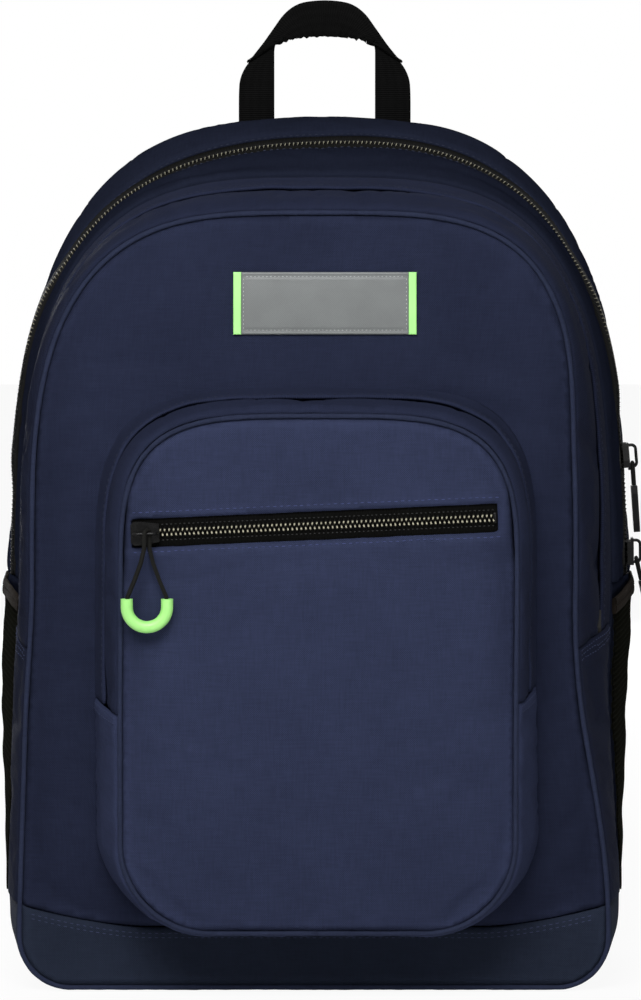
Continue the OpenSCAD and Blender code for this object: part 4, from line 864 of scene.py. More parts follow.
POCKET_ZIP_V = POCKET_ZIP_D / POCKET_DEPTH
flap_vs = np.linspace(0, (POCKET_ZIP_D + FLAP_REACH) / POCKET_DEPTH, 8)
pocket_flap = grid_patch("pocket_flap_cloth", over_pocket(flap_vs, [0.0] * 8), "low", share=POCKET_SHARE)
v_start = POCKET_ZIP_V + (FLAP_REACH - 3) / POCKET_DEPTH
gusset_vs = np.linspace(v_start, POCKET_FRONT_V, 12)
gusset_insets = [(UNDER_FLAP + 0.4) * (1 - ramp(v, v_start + 0.05, v_start + 0.22)) for v in gusset_vs]
pocket_gusset = bulged(grid_patch("pocket_gusset_cloth", over_pocket(gusset_vs, gusset_insets),
                                  "high", share=POCKET_SHARE), 1.0)
low_vs = np.linspace(0, POCKET_FRONT_V, 15)
u_low = [pocket_ends(v) for v in low_vs]
low_grid = np.array([[pocket_point(v, -b + (a + b) * t) for v, (a, b) in zip(low_vs, u_low)]
                     for t in np.linspace(0, 1, 190)])
pocket_low = bulged(grid_patch("pocket_gusset_low", low_grid, "all", share=POCKET_SHARE), 1.2)


def on_zip(x, z):
    """Point of the face zip's plane: x along the zip, z across it, as (x, z) on the pocket's face."""
    return x * ZIP_COS - z * ZIP_SIN, FACE_ZIP_Z + x * ZIP_SIN + z * ZIP_COS


pocket_rim = pocket_at(1, RIM_INSET)
window = [on_zip(x, z) for x, z in ((-FACE_ZIP_LEFT, -ZIP_EDGE), (FACE_ZIP_RIGHT, -ZIP_EDGE),
                                    (FACE_ZIP_RIGHT, ZIP_EDGE), (-FACE_ZIP_LEFT, ZIP_EDGE))]


def pocket_cloth_y(x, z):
    """The pocket's cloth, lifted beside the zip where the straight zip stands proud of it."""
    across = (z - FACE_ZIP_Z) * ZIP_COS - x * ZIP_SIN
    near = (1 - ramp(abs(across), ZIP_EDGE + 1, ZIP_EDGE + 19)) * (1 - ramp(abs(x), 92.5, 96.5))
    y = pocket_y(x, z) + RIM_SINK
    return y + min(0.0, ZIP_Y + 0.3 - y) * near


pocket_face = flat_panel("pocket_face_cloth", [whole(pocket_rim, 700), window], 2.6,
                         lambda x, z: (x, pocket_cloth_y(x, z), z), share=POCKET_SHARE)

# ---- Settle the cloth: pressed out by the filling, held by its seams, with a little cloth to spare.
simulated = []
for patch, pressure, extra, bend, cap in (
        (rear, 1.2, 0.005, 0.5, 1.6), (front, 1.6, 0.006, 0.4, 1.6), (side_right, 0.8, 0.004, 0.5, 0.8),
        (side_left, 0.8, 0.004, 0.5, 0.8), (mid_gusset, 2.5, 0.010, 0.4, 3.0), (mid_side_right, 2.0, 0.008, 0.4, 3.0),
        (mid_face, 1.6, 0.007, 0.6, 5.0), (pocket_gusset, 2.5, 0.010, 0.4, 2.5), (pocket_low, 2.5, 0.010, 0.4, 3.0),
        (pocket_face, 1.4, 0.006, 0.6, 4.0)):
    patch.sim = dict(pressure=pressure, extra=extra, bend=bend, cap=cap)
    simulated.append(patch)
for k, patch in enumerate(simulated + [mid_flap, pocket_flap, boot, base]):
    patch.uneven(40 + k, 90, 0.35)
simulate(simulated)
mid_side_left = mirror_patch(mid_side_right, "middle_side_left")

# The rear gusset is drawn in at the shoulders, behind the zip's teeth.
rear.push([-1.5 * ramp(z, 205, 240) * (1 - ramp(z, 388, 418)) for z in rear.V[:, 2]])
for patch in (side_right, side_left):
    # The net lies tight over the side panels.
    patch.push(-1.6 * patch.away(9))
for k, (patch, at, wander, width, depth) in enumerate((
        (rear, 0.55, 0.10, 0.16, 0.5), (front, 0.62, 0.13, 0.13, 1.1), (mid_flap, 0.42, 0.12, 0.16, 0.5),
        (mid_gusset, 0.50, 0.12, 0.16, 0.7), (pocket_gusset, 0.50, 0.14, 0.16, 0.6),
        (pocket_flap, 0.45, 0.12, 0.16, 0.4))):
    patch.creased(21 + k, at, wander, width, depth)
# A flap's free edge lifts unevenly and carries a painted highlight.
for patch, reach, height, seed, longest, shortest in (
        (mid_flap, 15.5, 0.35, 5, 150, 22), (pocket_flap, 17, 0.4, 9, 120, 20)):
    patch.push(patch.away(reach) ** 2 * (0.2 + height * waves(patch.along, seed, longest, shortest)))
    patch.hem = patch.far
for k, (patch, depth) in enumerate((
        (rear, 1.1), (front, 1.3), (side_right, 1.1), (side_left, 1.1), (mid_flap, 1.2), (mid_gusset, 0.3),
        (mid_side_right, 1.2), (mid_side_left, 1.2), (mid_face, 1.0), (boot, 0.9), (base, 0.9), (pocket_flap, 1.2),
        (pocket_gusset, 0.3), (pocket_low, 1.1), (pocket_face, 0.9))):
    patch.puckered(100 + 10 * k, 0.30 if patch.edge.max() > 30 else 0.22).rolled(0.5 * depth, 1.9)


def painted_side_shade(P):
    """How much painted shade darkens the cloth at some points: most low on the bag and on its sides."""
    return np.array([2.1 * max(ramp(abs(x + 4), 105, 148), 0.45 * (1 - ramp(z, 190, 270))) for x, _, z in P])


# Painted shade on the middle compartment's cloth, and on the pocket face toward its sides and bottom.
for patch in (mid_face, mid_flap, mid_gusset, mid_side_right, mid_side_left):
    patch.painted_shade = painted_side_shade(patch.V)
pocket_face.painted_shade = np.array([2.2 * ramp(abs(x), 76, 100) * ramp(z, 110, 190) + 0.5 * (1 - ramp(z, 80, 190))
                             for x, _, z in pocket_face.V])
divider = grid_patch("divider_cloth", np.array([[shell_point(MAIN_DEPTH + 0.5, u, k) for k in (0.6, 2.0, 4.0, 6.0, 8.0)]
                                                for u in np.linspace(0, 8, 700)]), "none")
for mat, slot, wall, pieces in (
        (rear_painted_shade_mat, "dark_navy_cloth", 1.2, ((rear, "main_gusset_rear"),)),
        (front_painted_shade_mat, "dark_navy_cloth", 1.2, ((front, "main_gusset_front"), (side_right, "side_panels"),
                                             (side_left, None))),
        (front_painted_shade_mat, "lining", 1.4, ((divider, "main_divider"),)),
        (mid_painted_shade_mat, "navy_cloth", 1.5, ((mid_flap, "middle_flap"),)),
        (mid_painted_shade_mat, "navy_cloth", 1.2, ((mid_gusset, "middle_gusset"), (mid_side_right, "middle_side_panels"),
                                      (mid_side_left, None))),
        (face_painted_shade_mat, "navy_cloth", 1.2, ((mid_face, "middle_face"),)),
        (boot_mat, "boot_cloth", 1.2, ((boot, "boot"),)),
        (boot_mat, "boot_cloth", 1.6, ((base, "base_panel"),)),
        (pocket_painted_shade_mat, "navy_cloth", 1.5, ((pocket_flap, "pocket_flap"),)),
        (pocket_painted_shade_mat, "navy_cloth", 1.2, ((pocket_gusset, "pocket_gusset"),)),
        (navy, "navy_cloth", 1.2, ((pocket_low, "pocket_gusset_lower"), (pocket_face, "pocket_face")))):
    for patch, node in pieces:
        cloth_object(patch, mat, [node] if node else [], wall)

# ---- Piping round the two faces: cloth over a cord, a little uneven.
PIPING_SEEN_R, PIPING_INSET = 1.25, 1.35


def piping(name, o, y, seed, node, share):
    """Piping along the outline o at y; share is how much of the lean it takes."""
    P = resampled(whole(o, 900), 2.2, True)
    path = leaned([(x, y + 0.5, z) for x, z in P], share)
    s = np.arange(len(path)) * 2.2
    thick = PIPING_SEEN_R + 0.1 * waves(s, seed, 80, 7)
    V, F, UV = tube(path, thick, 12, closed=True, up=(0, 1, 0))
    make(name, V, F, piping_mat, "bag", UV, nodes=[node])


piping("middle_piping_cord", shell_at(MID_FACE_D, PIPING_INSET), Y_MID, 31, "middle_piping", 1.0)
piping("pocket_piping_cord", pocket_at(1, PIPING_INSET), Y_POCKET, 33, "pocket_piping", POCKET_SHARE)


# ==== Zips: woven tapes and coils ====
def drained(bm):
    """Points and faces of a bmesh, which is then freed, in an order that is the same each run."""
    points, faces = [tuple(v.co) for v in bm.verts], [[v.index for v in f.verts] for f in bm.faces]
    bm.free()
    order = sorted(range(len(points)), key=lambda k: [round(c, 3) for c in points[k]])
    rank = {k: place for place, k in enumerate(order)}
    return [points[k] for k in order], sorted(tuple(rank[k] for k in f) for f in faces)


def coils(name, node, path, across, r=0.45, part=None, far_row=1.0, crests=(0.1, 0.7, 1.0, 0.6, 0.0), highlight=1.0,
          slant=0.34):
    """Two rows of coil turns along a line, half a turn apart.

    part is how far each row stands from the middle, highlight the painted highlight on the turns, as a share or by the
    point, crests the painted highlight along one turn, far_row the share of it on the row against across, slant a
    turn's lean in pitches."""
    P = resampled(path, PITCH / 2)
    T = unit(np.gradient(P, axis=0))
    A = np.asarray(across, dtype=float)
    U = np.cross(T, A)
    s = np.where(np.arange(len(P)) % 2, 1.0, -1.0)[:, None]
    apart = 0.0 if part is None else np.array([[part(x, z)] for x, _, z in P])
    ring = [(math.cos(a), math.sin(a)) for a in np.arange(6) * math.pi / 3]
    V = []
    for t, h, k in zip((-0.09, 0.08, 0.19, 0.29, 0.46), (-0.4, 0.0, 0.45, 0.3, -0.75), (0.5, 0.85, 1.0, 0.95, 0.5)):
        c = P + A * s * (t * CHAIN_W + apart) + U * h + T * (t - 0.2) * slant * PITCH
        V += [c + T * a * r * k + U * b * r * k for a, b in ring]
    n = len(V)
    V = np.stack(V, axis=1).reshape(-1, 3)
    F = [tuple(k * n + i for i in (f if k % 2 else f[::-1])) for k in range(len(P)) for f in ring_faces(5, 6)]
    # Painted highlight on the turns' crests, weaker on the far row.
    highlight_share = np.array([highlight(x, z) for x, _, z in P]) if callable(highlight) else highlight
    share = np.where(np.arange(len(P)) % 2, 1.0, far_row) * highlight_share
    wear_and_painted_light = (np.repeat(crests, 6)[None, :] * share[:, None]).ravel()
    make(name, V, F, coil_mat, "bag", wear_and_painted_light=wear_and_painted_light, nodes=[node])


def tape_object(patch, node):
    cloth_object(patch, tape_mat, [node], 0.9)


def run_over(place, o, z_right, z_left, n):
    """Points over the top between two heights; place gives them at each u of the outline o."""
    return np.array([place(u) for u in np.linspace(u_at(o, z_right), 8 - u_at(o, z_left), n)])


def band(name, place, o, z_end, rear, front, share):
    """Flat tape over the top, reaching rear and front of place's points."""
    ys = np.linspace(ZIP_EDGE + rear, -ZIP_EDGE - front, 9)
    line = run_over(place, o, z_end, z_end, 300)
    return grid_patch(name, np.array([[(x, y_mid + y, z) for y in ys] for x, y_mid, z in line]), "none", share=share)


ACROSS = (0, -1, 0)
tape_ds = list(np.linspace(ZIP_REAR_D - 4, ZIP_FRONT_D + 1, 14))
tape_insets = [table(d - MAIN_ZIP_D, (-11, 1.3), (-7, 1.0), (0, 2.0), (5, 2.9), (8, 4.4)) for d in tape_ds]
main_tape = grid_patch("main_tape", over_top(tape_ds, MAIN_ZIP_END, 3.0, tape_insets), "none")
# The last constant is the share of the coils' painted highlight on the hidden zips.
ZIP_PROUD, MAIN_COIL_SINK, HIDDEN_COIL_SINK, HIDDEN_HIGHLIGHT = 2.1, 1.7, HIDDEN_SINK - 1.3, 0.4


def proud(P, N):
    """The main zip's points pushed out at the bag's shoulders, where its teeth make the outline."""
    high = np.where(P[:, 0] > 0, 275, 240)
    share = [ramp(z, a, a + 25) * (1 - ramp(z, 340, 370)) for z, a in zip(P[:, 2], high)]
    return P + N * ZIP_PROUD * np.array(share)[:, None]


main_tape.V = proud(main_tape.V, main_tape.normals())
tape_object(main_tape, "main_zip_tape")
tape_object(band("middle_tape", lambda u: shell_point(MID_ZIP_MID, u, HIDDEN_SINK),
                 shell_at(MID_ZIP_MID, HIDDEN_SINK), MID_ZIP_END, 1.5, 1.5, 1.0), "middle_zip_tape")


def parting(x, z):
    """How far each row stands from the middle: the chain is open between the two sliders."""
    return 1.6 * ramp(z, 212, 217) * (1 - ramp(z, 258, 263)) if x > 0 else 0.0


main_line = run_over(lambda u: shell_point(MAIN_ZIP_D, u, MAIN_COIL_SINK), shell_at(MAIN_ZIP_D, MAIN_COIL_SINK),
                     MAIN_ZIP_END, MAIN_ZIP_END, 900)
main_line = proud(main_line, unit(np.cross(np.gradient(main_line, axis=0), ACROSS)))


def main_highlight(x, z):
    """The painted highlight on the teeth is weaker low on the sides."""
    return 0.77 * (ramp(z, 292, 325) if x < 0 else ramp(z, 212, 226) * (0.72 + 0.28 * ramp(z, 300, 345)))


coils("main_coils", "main_zip_chain", leaned(main_line), ACROSS, r=0.36, part=parting, far_row=0.3,
      crests=(0.0, 0.0, 0.3, 1.0, 0.9), highlight=main_highlight, slant=0.9)
line = run_over(lambda u: shell_point(MID_ZIP_MID, u, HIDDEN_COIL_SINK), shell_at(MID_ZIP_MID, HIDDEN_COIL_SINK),
                MID_ZIP_END + SLIDER_ROOM, MID_ZIP_END, 900)
coils("middle_coils", "middle_zip_chain", leaned(line), ACROSS, highlight=HIDDEN_HIGHLIGHT)

pocket_o = pocket_at(POCKET_ZIP_V, HIDDEN_SINK)
tape_object(band("pocket_tape", lambda u: pocket_point(POCKET_ZIP_V, u, HIDDEN_SINK), pocket_o, POCKET_ZIP_END,
                 1.0, 1.5, POCKET_SHARE), "pocket_zip_tape")
line = run_over(lambda u: pocket_point(POCKET_ZIP_V, u, HIDDEN_COIL_SINK), pocket_o, POCKET_ZIP_END + SLIDER_ROOM,
                POCKET_ZIP_END, 700)
coils("pocket_coils", "pocket_zip_chain", leaned(line, POCKET_SHARE), ACROSS, highlight=HIDDEN_HIGHLIGHT)

# ---- The face zip lies in the pocket's window.
def on_face(x, z, out=0.0):
    """Point of the zip's plane: x along it, z across it, out toward the front."""
    px, pz = on_zip(x, z)
    return px, ZIP_Y - out, pz


face_across = (-ZIP_SIN, 0, ZIP_COS)
tape_x = np.linspace(0.4 - FACE_ZIP_LEFT, FACE_ZIP_RIGHT + 1.0, 90)
tape_z = np.linspace(-ZIP_EDGE - 1.0, ZIP_EDGE + 1.0, 13)
dome = lambda z: -1.9 + 0.35 * math.cos(z / ZIP_EDGE * math.pi / 2)
face_tape = grid_patch("face_tape", np.array([[on_face(x, z, dome(z)) for z in tape_z] for x in tape_x]), "none",
                       share=0.0)
face_tape.push(0.12 * waves(face_tape.along, 71, 60, 9))
tape_object(face_tape, "face_zip_tape")
line = [on_face(x, 0, -0.55) for x in np.linspace(-FACE_ZIP_LEFT + 9.5, FACE_ZIP_RIGHT - 2, 400)]
coils("face_coils", "face_zip_coils", line, face_across)
# Sewing that holds each coil to its tape, and the stop at the zip's end.
ZIP_STOP = (1.6, 1.8, 5.4)
parts = []
for z in (-CHAIN_W / 2 - 0.7, CHAIN_W / 2 + 0.7):
    line = [on_face(x, z, -1.2) for x in np.linspace(-80, FACE_ZIP_RIGHT - 1, 300)]
    parts += stitches(line, face_tape.tree, 1.5, 0.7, 0.2)
sew("face_coil_sewing", parts, black_thread)
bm = bmesh.new()
bmesh.ops.create_cube(bm, size=1.0)
for v in bm.verts:
    v.co = Vector([c * size for c, size in zip(v.co, ZIP_STOP)])
bmesh.ops.bevel(bm, geom=list(bm.edges), offset=0.5, segments=2, profile=0.6, affect="EDGES")
V, F = drained(bm)
zip_axes = np.array(((ZIP_COS, 0, ZIP_SIN), (0, 1, 0), face_across), dtype=float).T
stop_at = np.array(on_face(FACE_ZIP_RIGHT - 1.4, 0, -0.7))
make("face_zip_stop", [zip_axes @ np.array(p) + stop_at for p in V], F, enamel, "bag")


# ==== Mesh pockets: knitted net with open cells, and a folded elastic binding ====
MESH_TOP, MESH_BACK_D, MESH_STAND, BINDING_H, MESH_FALL = 201.0, 22.0, 1.2, 8.0, 7.0
CELL, NET_THREAD = 3.4, 0.75


def stand_off(d, z):
    """How far the net stands off the bag's side."""
    s = min(1.0, max(0.0, (d - MESH_BACK_D) / (MAIN_DEPTH - 1 - MESH_BACK_D)))
    return 1.3 + MESH_STAND * math.sin(math.pi * s ** 3) * (max(0.0, z - BOOT_H) / (MESH_TOP - BOOT_H)) ** 0.6


def side_place(d, z, off):
    """Point of the right side at depth d and height z, moved out by off, with the lean."""
    o = shell_at(d)
    x, _ = outline(o, u_at(o, z))
    y = Y_BACK - d
    return x + off + lean(x, y, z), y, z


def honeycomb(lo, hi, cell):
    """Cells of a hexagon net over a box of (a, b), as points and faces."""
    step_b = cell * 0.866
    index, V, F = {}, [], []
    for j in range(int((hi[1] - lo[1]) / step_b)):
        for i in range(int((hi[0] - lo[0]) / cell)):
            ca, cb = lo[0] + cell * (i + 0.5 + 0.5 * (j % 2)), lo[1] + step_b * (j + 0.6)
            if ca > hi[0] - cell * 0.4:
                continue
            face = []
            for k in range(6):
                ang = math.pi / 6 + k * math.pi / 3
                p = (ca + cell / math.sqrt(3) * math.cos(ang), cb + cell / math.sqrt(3) * math.sin(ang))
                key = (round(p[0] * 20), round(p[1] * 20))
                hit = next((index[(key[0] + a, key[1] + b)] for a in (0, -1, 1) for b in (0, -1, 1)
                            if (key[0] + a, key[1] + b) in index), None)
                if hit is None:
                    hit = index[key] = len(V)
                    V.append(p)
                face.append(hit)
            F.append(face)
    return np.array(V), F


def to_side(P, sign):
    """Points of the right side's net, mirrored where sign is -1; the lean goes the same way on both sides."""
    P = np.array(P) * [sign, 1, 1]
    if sign < 0:
        flat = P.reshape(-1, 3)
        flat[:, 0] += [2 * lean(*p) for p in flat]
    return P


def net(sign, side):
    """One side's net, its cells' edges turned into threads."""
    flat, F = honeycomb((MESH_BACK_D, BOOT_SIDE + 1), (MAIN_DEPTH - 1, MESH_TOP - BINDING_H + 3), CELL)
    flat[:, 0] = np.clip(flat[:, 0], MESH_BACK_D, MAIN_DEPTH - 0.5)
    # The top edge falls toward the front, and the cells below it close up with it.
    share = (flat[:, 0] - MESH_BACK_D) / (MAIN_DEPTH - MESH_BACK_D)
    flat[:, 1] -= MESH_FALL * share ** 1.6 * (flat[:, 1] - BOOT_SIDE) / (MESH_TOP - BOOT_SIDE)
    dip = 1.0 * waves(flat[:, 1], 61 + sign, 70, 22)
    V = to_side([side_place(d, z, stand_off(d, z) - 0.3 + 0.4 * k) for (d, z), k in zip(flat, dip)], sign)
    if sign < 0:
        F = [f[::-1] for f in F]
    mod = make("net_" + side, V, F, net_mat, "bag", flat,
               nodes=["mesh_pocket_" + side]).modifiers.new("threads", "WIREFRAME")
    mod.thickness = NET_THREAD * MM
    mod.use_even_offset = False


for side in SIDES:
    net(*side)


def binding(sign, side):
    """Elastic folded over the net's top edge: two lips with a crease between, drawn in slightly."""
    # Section: how far out from the net and how high, from the inside over the top to the outside.
    section = [(-0.9, -8.4), (-1.3, -4.5), (-1.1, -0.9), (-0.2, 0.0), (0.7, -0.4), (1.1, -1.6), (1.25, -3.4),
               (0.75, -3.9), (1.3, -4.5), (1.35, -6.6), (1.0, -8.2), (0.3, -8.6)]
    rows = []
    for k, d in enumerate(np.linspace(MESH_BACK_D - 0.5, MAIN_DEPTH - 0.3, 60)):
        drop = MESH_FALL * (k / 59) ** 1.6 + 0.25 * float(waves([d], 66, 40, 9)[0])
        rows.append([side_place(d, MESH_TOP + dz - drop, stand_off(d, MESH_TOP + dz) + out) for out, dz in section])
    patch = grid_patch("binding_%s_cloth" % side, to_side(rows, sign), "none", flip=sign < 0, share=0.0)
    n, m = patch.shape
    F = patch.F + [tuple(range(m))[::-sign], tuple(range((n - 1) * m, n * m))[::sign]]
    F += [(i * m + m - 1, i * m, (i + 1) * m, (i + 1) * m + m - 1)[::-sign] for i in range(n - 1)]
    make(patch.name, patch.V, F, binding_mat, "bag", patch.UV, nodes=["mesh_binding_" + side])


for side in SIDES:
    binding(*side)


# ==== Haul loop: one length of webbing, folded over on the slant at its two corners ====
LOOP_HINGE_Z, LOOP_Y, LOOP_WEB, LOOP_SHIFT = BODY_H - 7 + 2.5, Y_BACK + 3.2, 19.0, 3.0
OUTER_SIDE = ((45.5, 0), (45.5, 20), (44.6, 26), (41.6, 32), (33.5, 41.8), (27, 51), (21.5, 59), (14.5, 64.2),
              (7, 65.7), (0, 66))
INNER_SIDE = ((26.5, 0), (26.3, 38), (26.0, 42.6), (24.3, 44.4), (12, 46.4), (0, 47))
FOLD_OUT, FOLD_IN = (40.6, 33.4), (26.2, 42.0)


def smooth_side(side, n):
    """Even points along a side of the loop's outline, its corners cut twice to soften them."""
    P = np.array(side, dtype=float)
    for _ in range(2):
        cut = [k for a, b in zip(P[:-1], P[1:]) for k in (a * 0.75 + b * 0.25, a * 0.25 + b * 0.75)]
        P = np.array([P[0]] + cut + [P[-1]])
    return spread(P, n)


def loop_patch(name, grid, seed, front, nodes=()):
    """Piece of the loop's webbing from a grid of (x, z, out), out toward the front."""
    P = np.array([[(x + LOOP_SHIFT, LOOP_Y - front - out, LOOP_HINGE_Z + z) for x, z, out in row] for row in grid])
    patch = grid_patch(name, P, "none", share=0.0, body="haul_loop")
    n, m = patch.shape
    patch.UV = np.stack([patch.along, np.tile(np.linspace(0, LOOP_WEB, m), n)], axis=1)
    patch.push(0.1 * waves(patch.along, seed, 40, 8))
    cloth_object(patch, webbing, nodes, 1.7)


outer_side, inner_side = smooth_side(OUTER_SIDE, 90), smooth_side(INNER_SIDE, 70)
outer_x = lambda z: float(np.interp(z, outer_side[:, 1], outer_side[:, 0]))
inner_x = lambda z: float(np.interp(z, [0, 40, 50], [26.4, 26.4, 24.5]))
for side, tag in SIDES:
    rows = []
    for z in np.linspace(-2, 50, 40):
        # Each leg bends back a little under the fold that turns it into the band.
        x0, x1 = inner_x(z), outer_x(max(0, z)) - 0.4
        soft = lambda t: 0.25 * math.sin(math.pi * t) - 0.8 * ramp(z, 30, 48)
        row = [(side * (x1 + (x0 - x1) * t), z, soft(t)) for t in np.linspace(0, 1, 11)]
        rows.append(row if side > 0 else row[::-1])
    loop_patch("haul_loop_leg_" + tag, rows, 81 + side, 0.3)

# The band across the top, from one fold to the other, gathered a little along its lower edge.
def from_fold(side_points, fold):
    """The part of an outline's side beyond the fold, joined with its mirror image."""
    k = int(np.argmin(np.linalg.norm(side_points - np.array(fold), axis=1)))
    half = side_points[k:]
    return np.vstack([half, half[-2::-1] * [-1, 1]])


n_band = 120
top, low = spread(from_fold(outer_side, FOLD_OUT), n_band), spread(from_fold(inner_side, FOLD_IN), n_band)
rows = []
for k in range(n_band):
    share = k / (n_band - 1)
    end = min(share, 1 - share) * 100
    row = []
    for t in np.linspace(0, 1, 15):
        x, z = top[k] * (1 - t) + low[k] * t
        gather = 0.5 * t ** 3 * float(waves([share * 100], 83, 17, 4.5)[0])
        out = (0.55 * math.sin(math.pi * t) ** 0.7 + gather - 0.9 * math.exp(-end / 1.6) +
               0.5 * math.exp(-((end - 5) / 4) ** 2))
        row.append((x, z + 0.35 * t ** 3 * float(waves([share * 100], 84, 14, 5)[0]), out))
    rows.append(row)
loop_patch("haul_loop_band", rows, 85, 1.5, ["haul_loop"])

# ==== Back: padded panel with channels, yoke, straps ====
back_o = shell_at(0, 1.5)
BACK_PADS, PAD_ROUND = ((-62, 262, 42, 84), (62, 262, 42, 84), (0, 110, 92, 52)), 3.2
QUILTING, SEAM_ROW, QUILT_AT = (2.6, 1.0, 0.28), (1.7, 0.8, 0.24), 0.42


def back_height(x, z):
    """How far the padding stands off the back seam's plane: two long pads, a lumbar pad, channels between them."""
    m = swell(back_o, x, z, 3)
    pads = groove = 0.0
    for cx, cz, wx, wz in BACK_PADS:
        r = (abs((x - cx) / wx) ** PAD_ROUND + abs((z - cz) / wz) ** PAD_ROUND) ** (1 / PAD_ROUND)
        pads = max(pads, (1 - ramp(r, 0.86, 1.0)) * (0.85 + 0.15 * (1 - min(1.0, r) ** 2)))
        groove = max(groove, math.exp(-((r - 1.02) * min(wx, wz) / 2.6) ** 2))
    return 1.0 * m + (3.0 * pads - 1.1 * groove) * min(1.0, m * 3)


back = flat_panel("back_cloth", [whole(back_o, 900)], 2.5, lambda x, z: (x, Y_BACK + back_height(x, z), z),
                  outward=(0, 1, 0))
back.uneven(77, 60, 0.25).puckered(78, 0.25).rolled(1.0)
cloth_object(back, back_mat, ["back_panel"], 5.0)

STRAP_TOP = np.array([46.0, 95.858, 392.0])
STRAP_IN, STRAP_OUT = math.radians(0.919912), math.radians(10.9841)
STRAP_L, STRAP_BOW, PAD_L, PAD_W, PAD_T = 346.39, 40.0, 242.473, 60.0, 9.0
QUILT_ENDS = (18, PAD_L - 30)


def on_strap(P, side):
    """Points of a strap's own frame, in the bag's."""
    P = np.asarray(P, dtype=float)
    rz = Matrix.Rotation(-STRAP_IN, 3, "X") @ Matrix.Rotation(-STRAP_OUT, 3, "Y")
    Q = P @ np.array(rz).T + STRAP_TOP
    return Q * [side, 1, 1]


def bow_at(u):
    """How far a strap bows away from the back, u along it."""
    return STRAP_BOW * math.sin(math.pi * max(0.0, u - 2) / STRAP_L) ** 1.1


def pad_width(u):
    if u < 30:
        return PAD_W * (0.66 + 0.34 * u / 30)
    if u > PAD_L - 22:
        return PAD_W + (33 - PAD_W) * (u - PAD_L + 22) / 22
    return PAD_W


def pad_point(u, a, out):
    """Point of a pad: u along it, a across in millimetres, out away from the back."""
    du = 0.5
    slope = (bow_at(u + du) - bow_at(u - du)) / (2 * du)
    n = np.array([1.0, slope]) / math.hypot(1, slope)
    return (a, bow_at(u) + out * n[0], -u + out * n[1])


def pad_mesh(side):
    """Pad with a crowned face, a bound edge and two quilting lines that draw it in."""
    us = np.concatenate([np.linspace(0.4, 8, 7), np.linspace(10, PAD_L - 10, 88),
                         np.linspace(PAD_L - 8, PAD_L - 0.4, 7)])
    n = 44
    rows = []
    for u in us:
        w = pad_width(u) / 2 - 0.4
        end = min(1.0, min(u, PAD_L - u) / 5)
        crown = PAD_T / 2 * (0.45 + 0.55 * math.sqrt(max(0.0, 1 - (1 - end) ** 2)))
        row = []
        for k in range(n):
            c, s = math.cos(2 * math.pi * k / n), math.sin(2 * math.pi * k / n)
            a = w * abs(c) ** 0.55 * (1 if c > 0 else -1)
            h = crown * abs(s) ** 0.7 * (1 if s > 0 else -1)
            quilt = math.exp(-((abs(a) - w * QUILT_AT) / 2.2) ** 2) * ramp(u, 14, 26)
            quilt *= 1 - ramp(u, PAD_L - 34, PAD_L - 22)
            ends = math.exp(-(min(abs(u - end_u) for end_u in QUILT_ENDS) / 2.4) ** 2) * (abs(a) < w * 0.46)
            h *= 1 - 0.42 * max(quilt, ends * 0.9) * (abs(h) > crown * 0.3)
            h *= 1 + 0.035 * float(waves([u + a], 91 + side, 46, 10, 5)[0])
            row.append(pad_point(u, a, h))
        rows.append(row)
    P = np.array(rows)
    m = len(us)
    V = on_strap(P.reshape(-1, 3), side)
    F = ring_faces(m, n)
    if side < 0:
        F = [f[::-1] for f in F]
    ring = lengths(P[m // 2])
    UV = np.array([(us[i], ring[k]) for i in range(m) for k in range(n)])
    return V, F, UV


back_rows = []
for cx, cz, wx, wz in BACK_PADS:
    ring = [(cx + 1.02 * wx * math.copysign(abs(math.cos(a)) ** (2 / PAD_ROUND), math.cos(a)),
             cz + 1.02 * wz * math.copysign(abs(math.sin(a)) ** (2 / PAD_ROUND), math.sin(a)))
            for a in np.linspace(0, 2 * math.pi, 240)]
    back_rows += stitches([(x, Y_BACK + back_height(x, z), z) for x, z in ring], back.tree, *QUILTING)
sew("back_sewing", back_rows, back_thread)

for side, tag in SIDES:
    V, F, UV = pad_mesh(side)
    pad_tree = BVHTree.FromPolygons((V * MM).tolist(), F[::-1])
    rows = []
    lines = [[(u, a * share * (pad_width(u) / 2 - 0.4)) for u in np.linspace(u0, u1, 120)]
             for a in (-1, 1) for share, u0, u1 in ((QUILT_AT, 26, PAD_L - 36), (0.86, 12, PAD_L - 26))]
    lines += [[(u, a) for a in np.linspace(-11, 11, 20)] for u in QUILT_ENDS]
    for line in lines:
        rows += stitches(on_strap([pad_point(u, a, PAD_T) for u, a in line], side), pad_tree, *QUILTING)
    sew("strap_sewing_" + tag, rows, back_thread, "strap_" + tag)
    pad = make("strap_pad_cloth_" + tag, V, F[::-1], dark, "strap_" + tag, UV,
               nodes=["strap_pad_" + tag])
    # Binding tape round the pad's edge.
    edge = [pad_point(u, pad_width(u) / 2 - 1.6, 0) for u in np.linspace(3, PAD_L - 2, 80)]
    edge += [pad_point(PAD_L - 1.6, a, 0) for a in np.linspace(14, -14, 16)[1:-1]]
    edge += [pad_point(u, 1.6 - pad_width(u) / 2, 0) for u in np.linspace(PAD_L - 2, 3, 80)]
    V, F, UV = tube(on_strap(edge, side), 2.3, 10, section=(0.7, 1.0), up=(side * 1.0, 0.0, 0.0))
    make("strap_binding_" + tag, V, F, webbing, "strap_" + tag, UV)


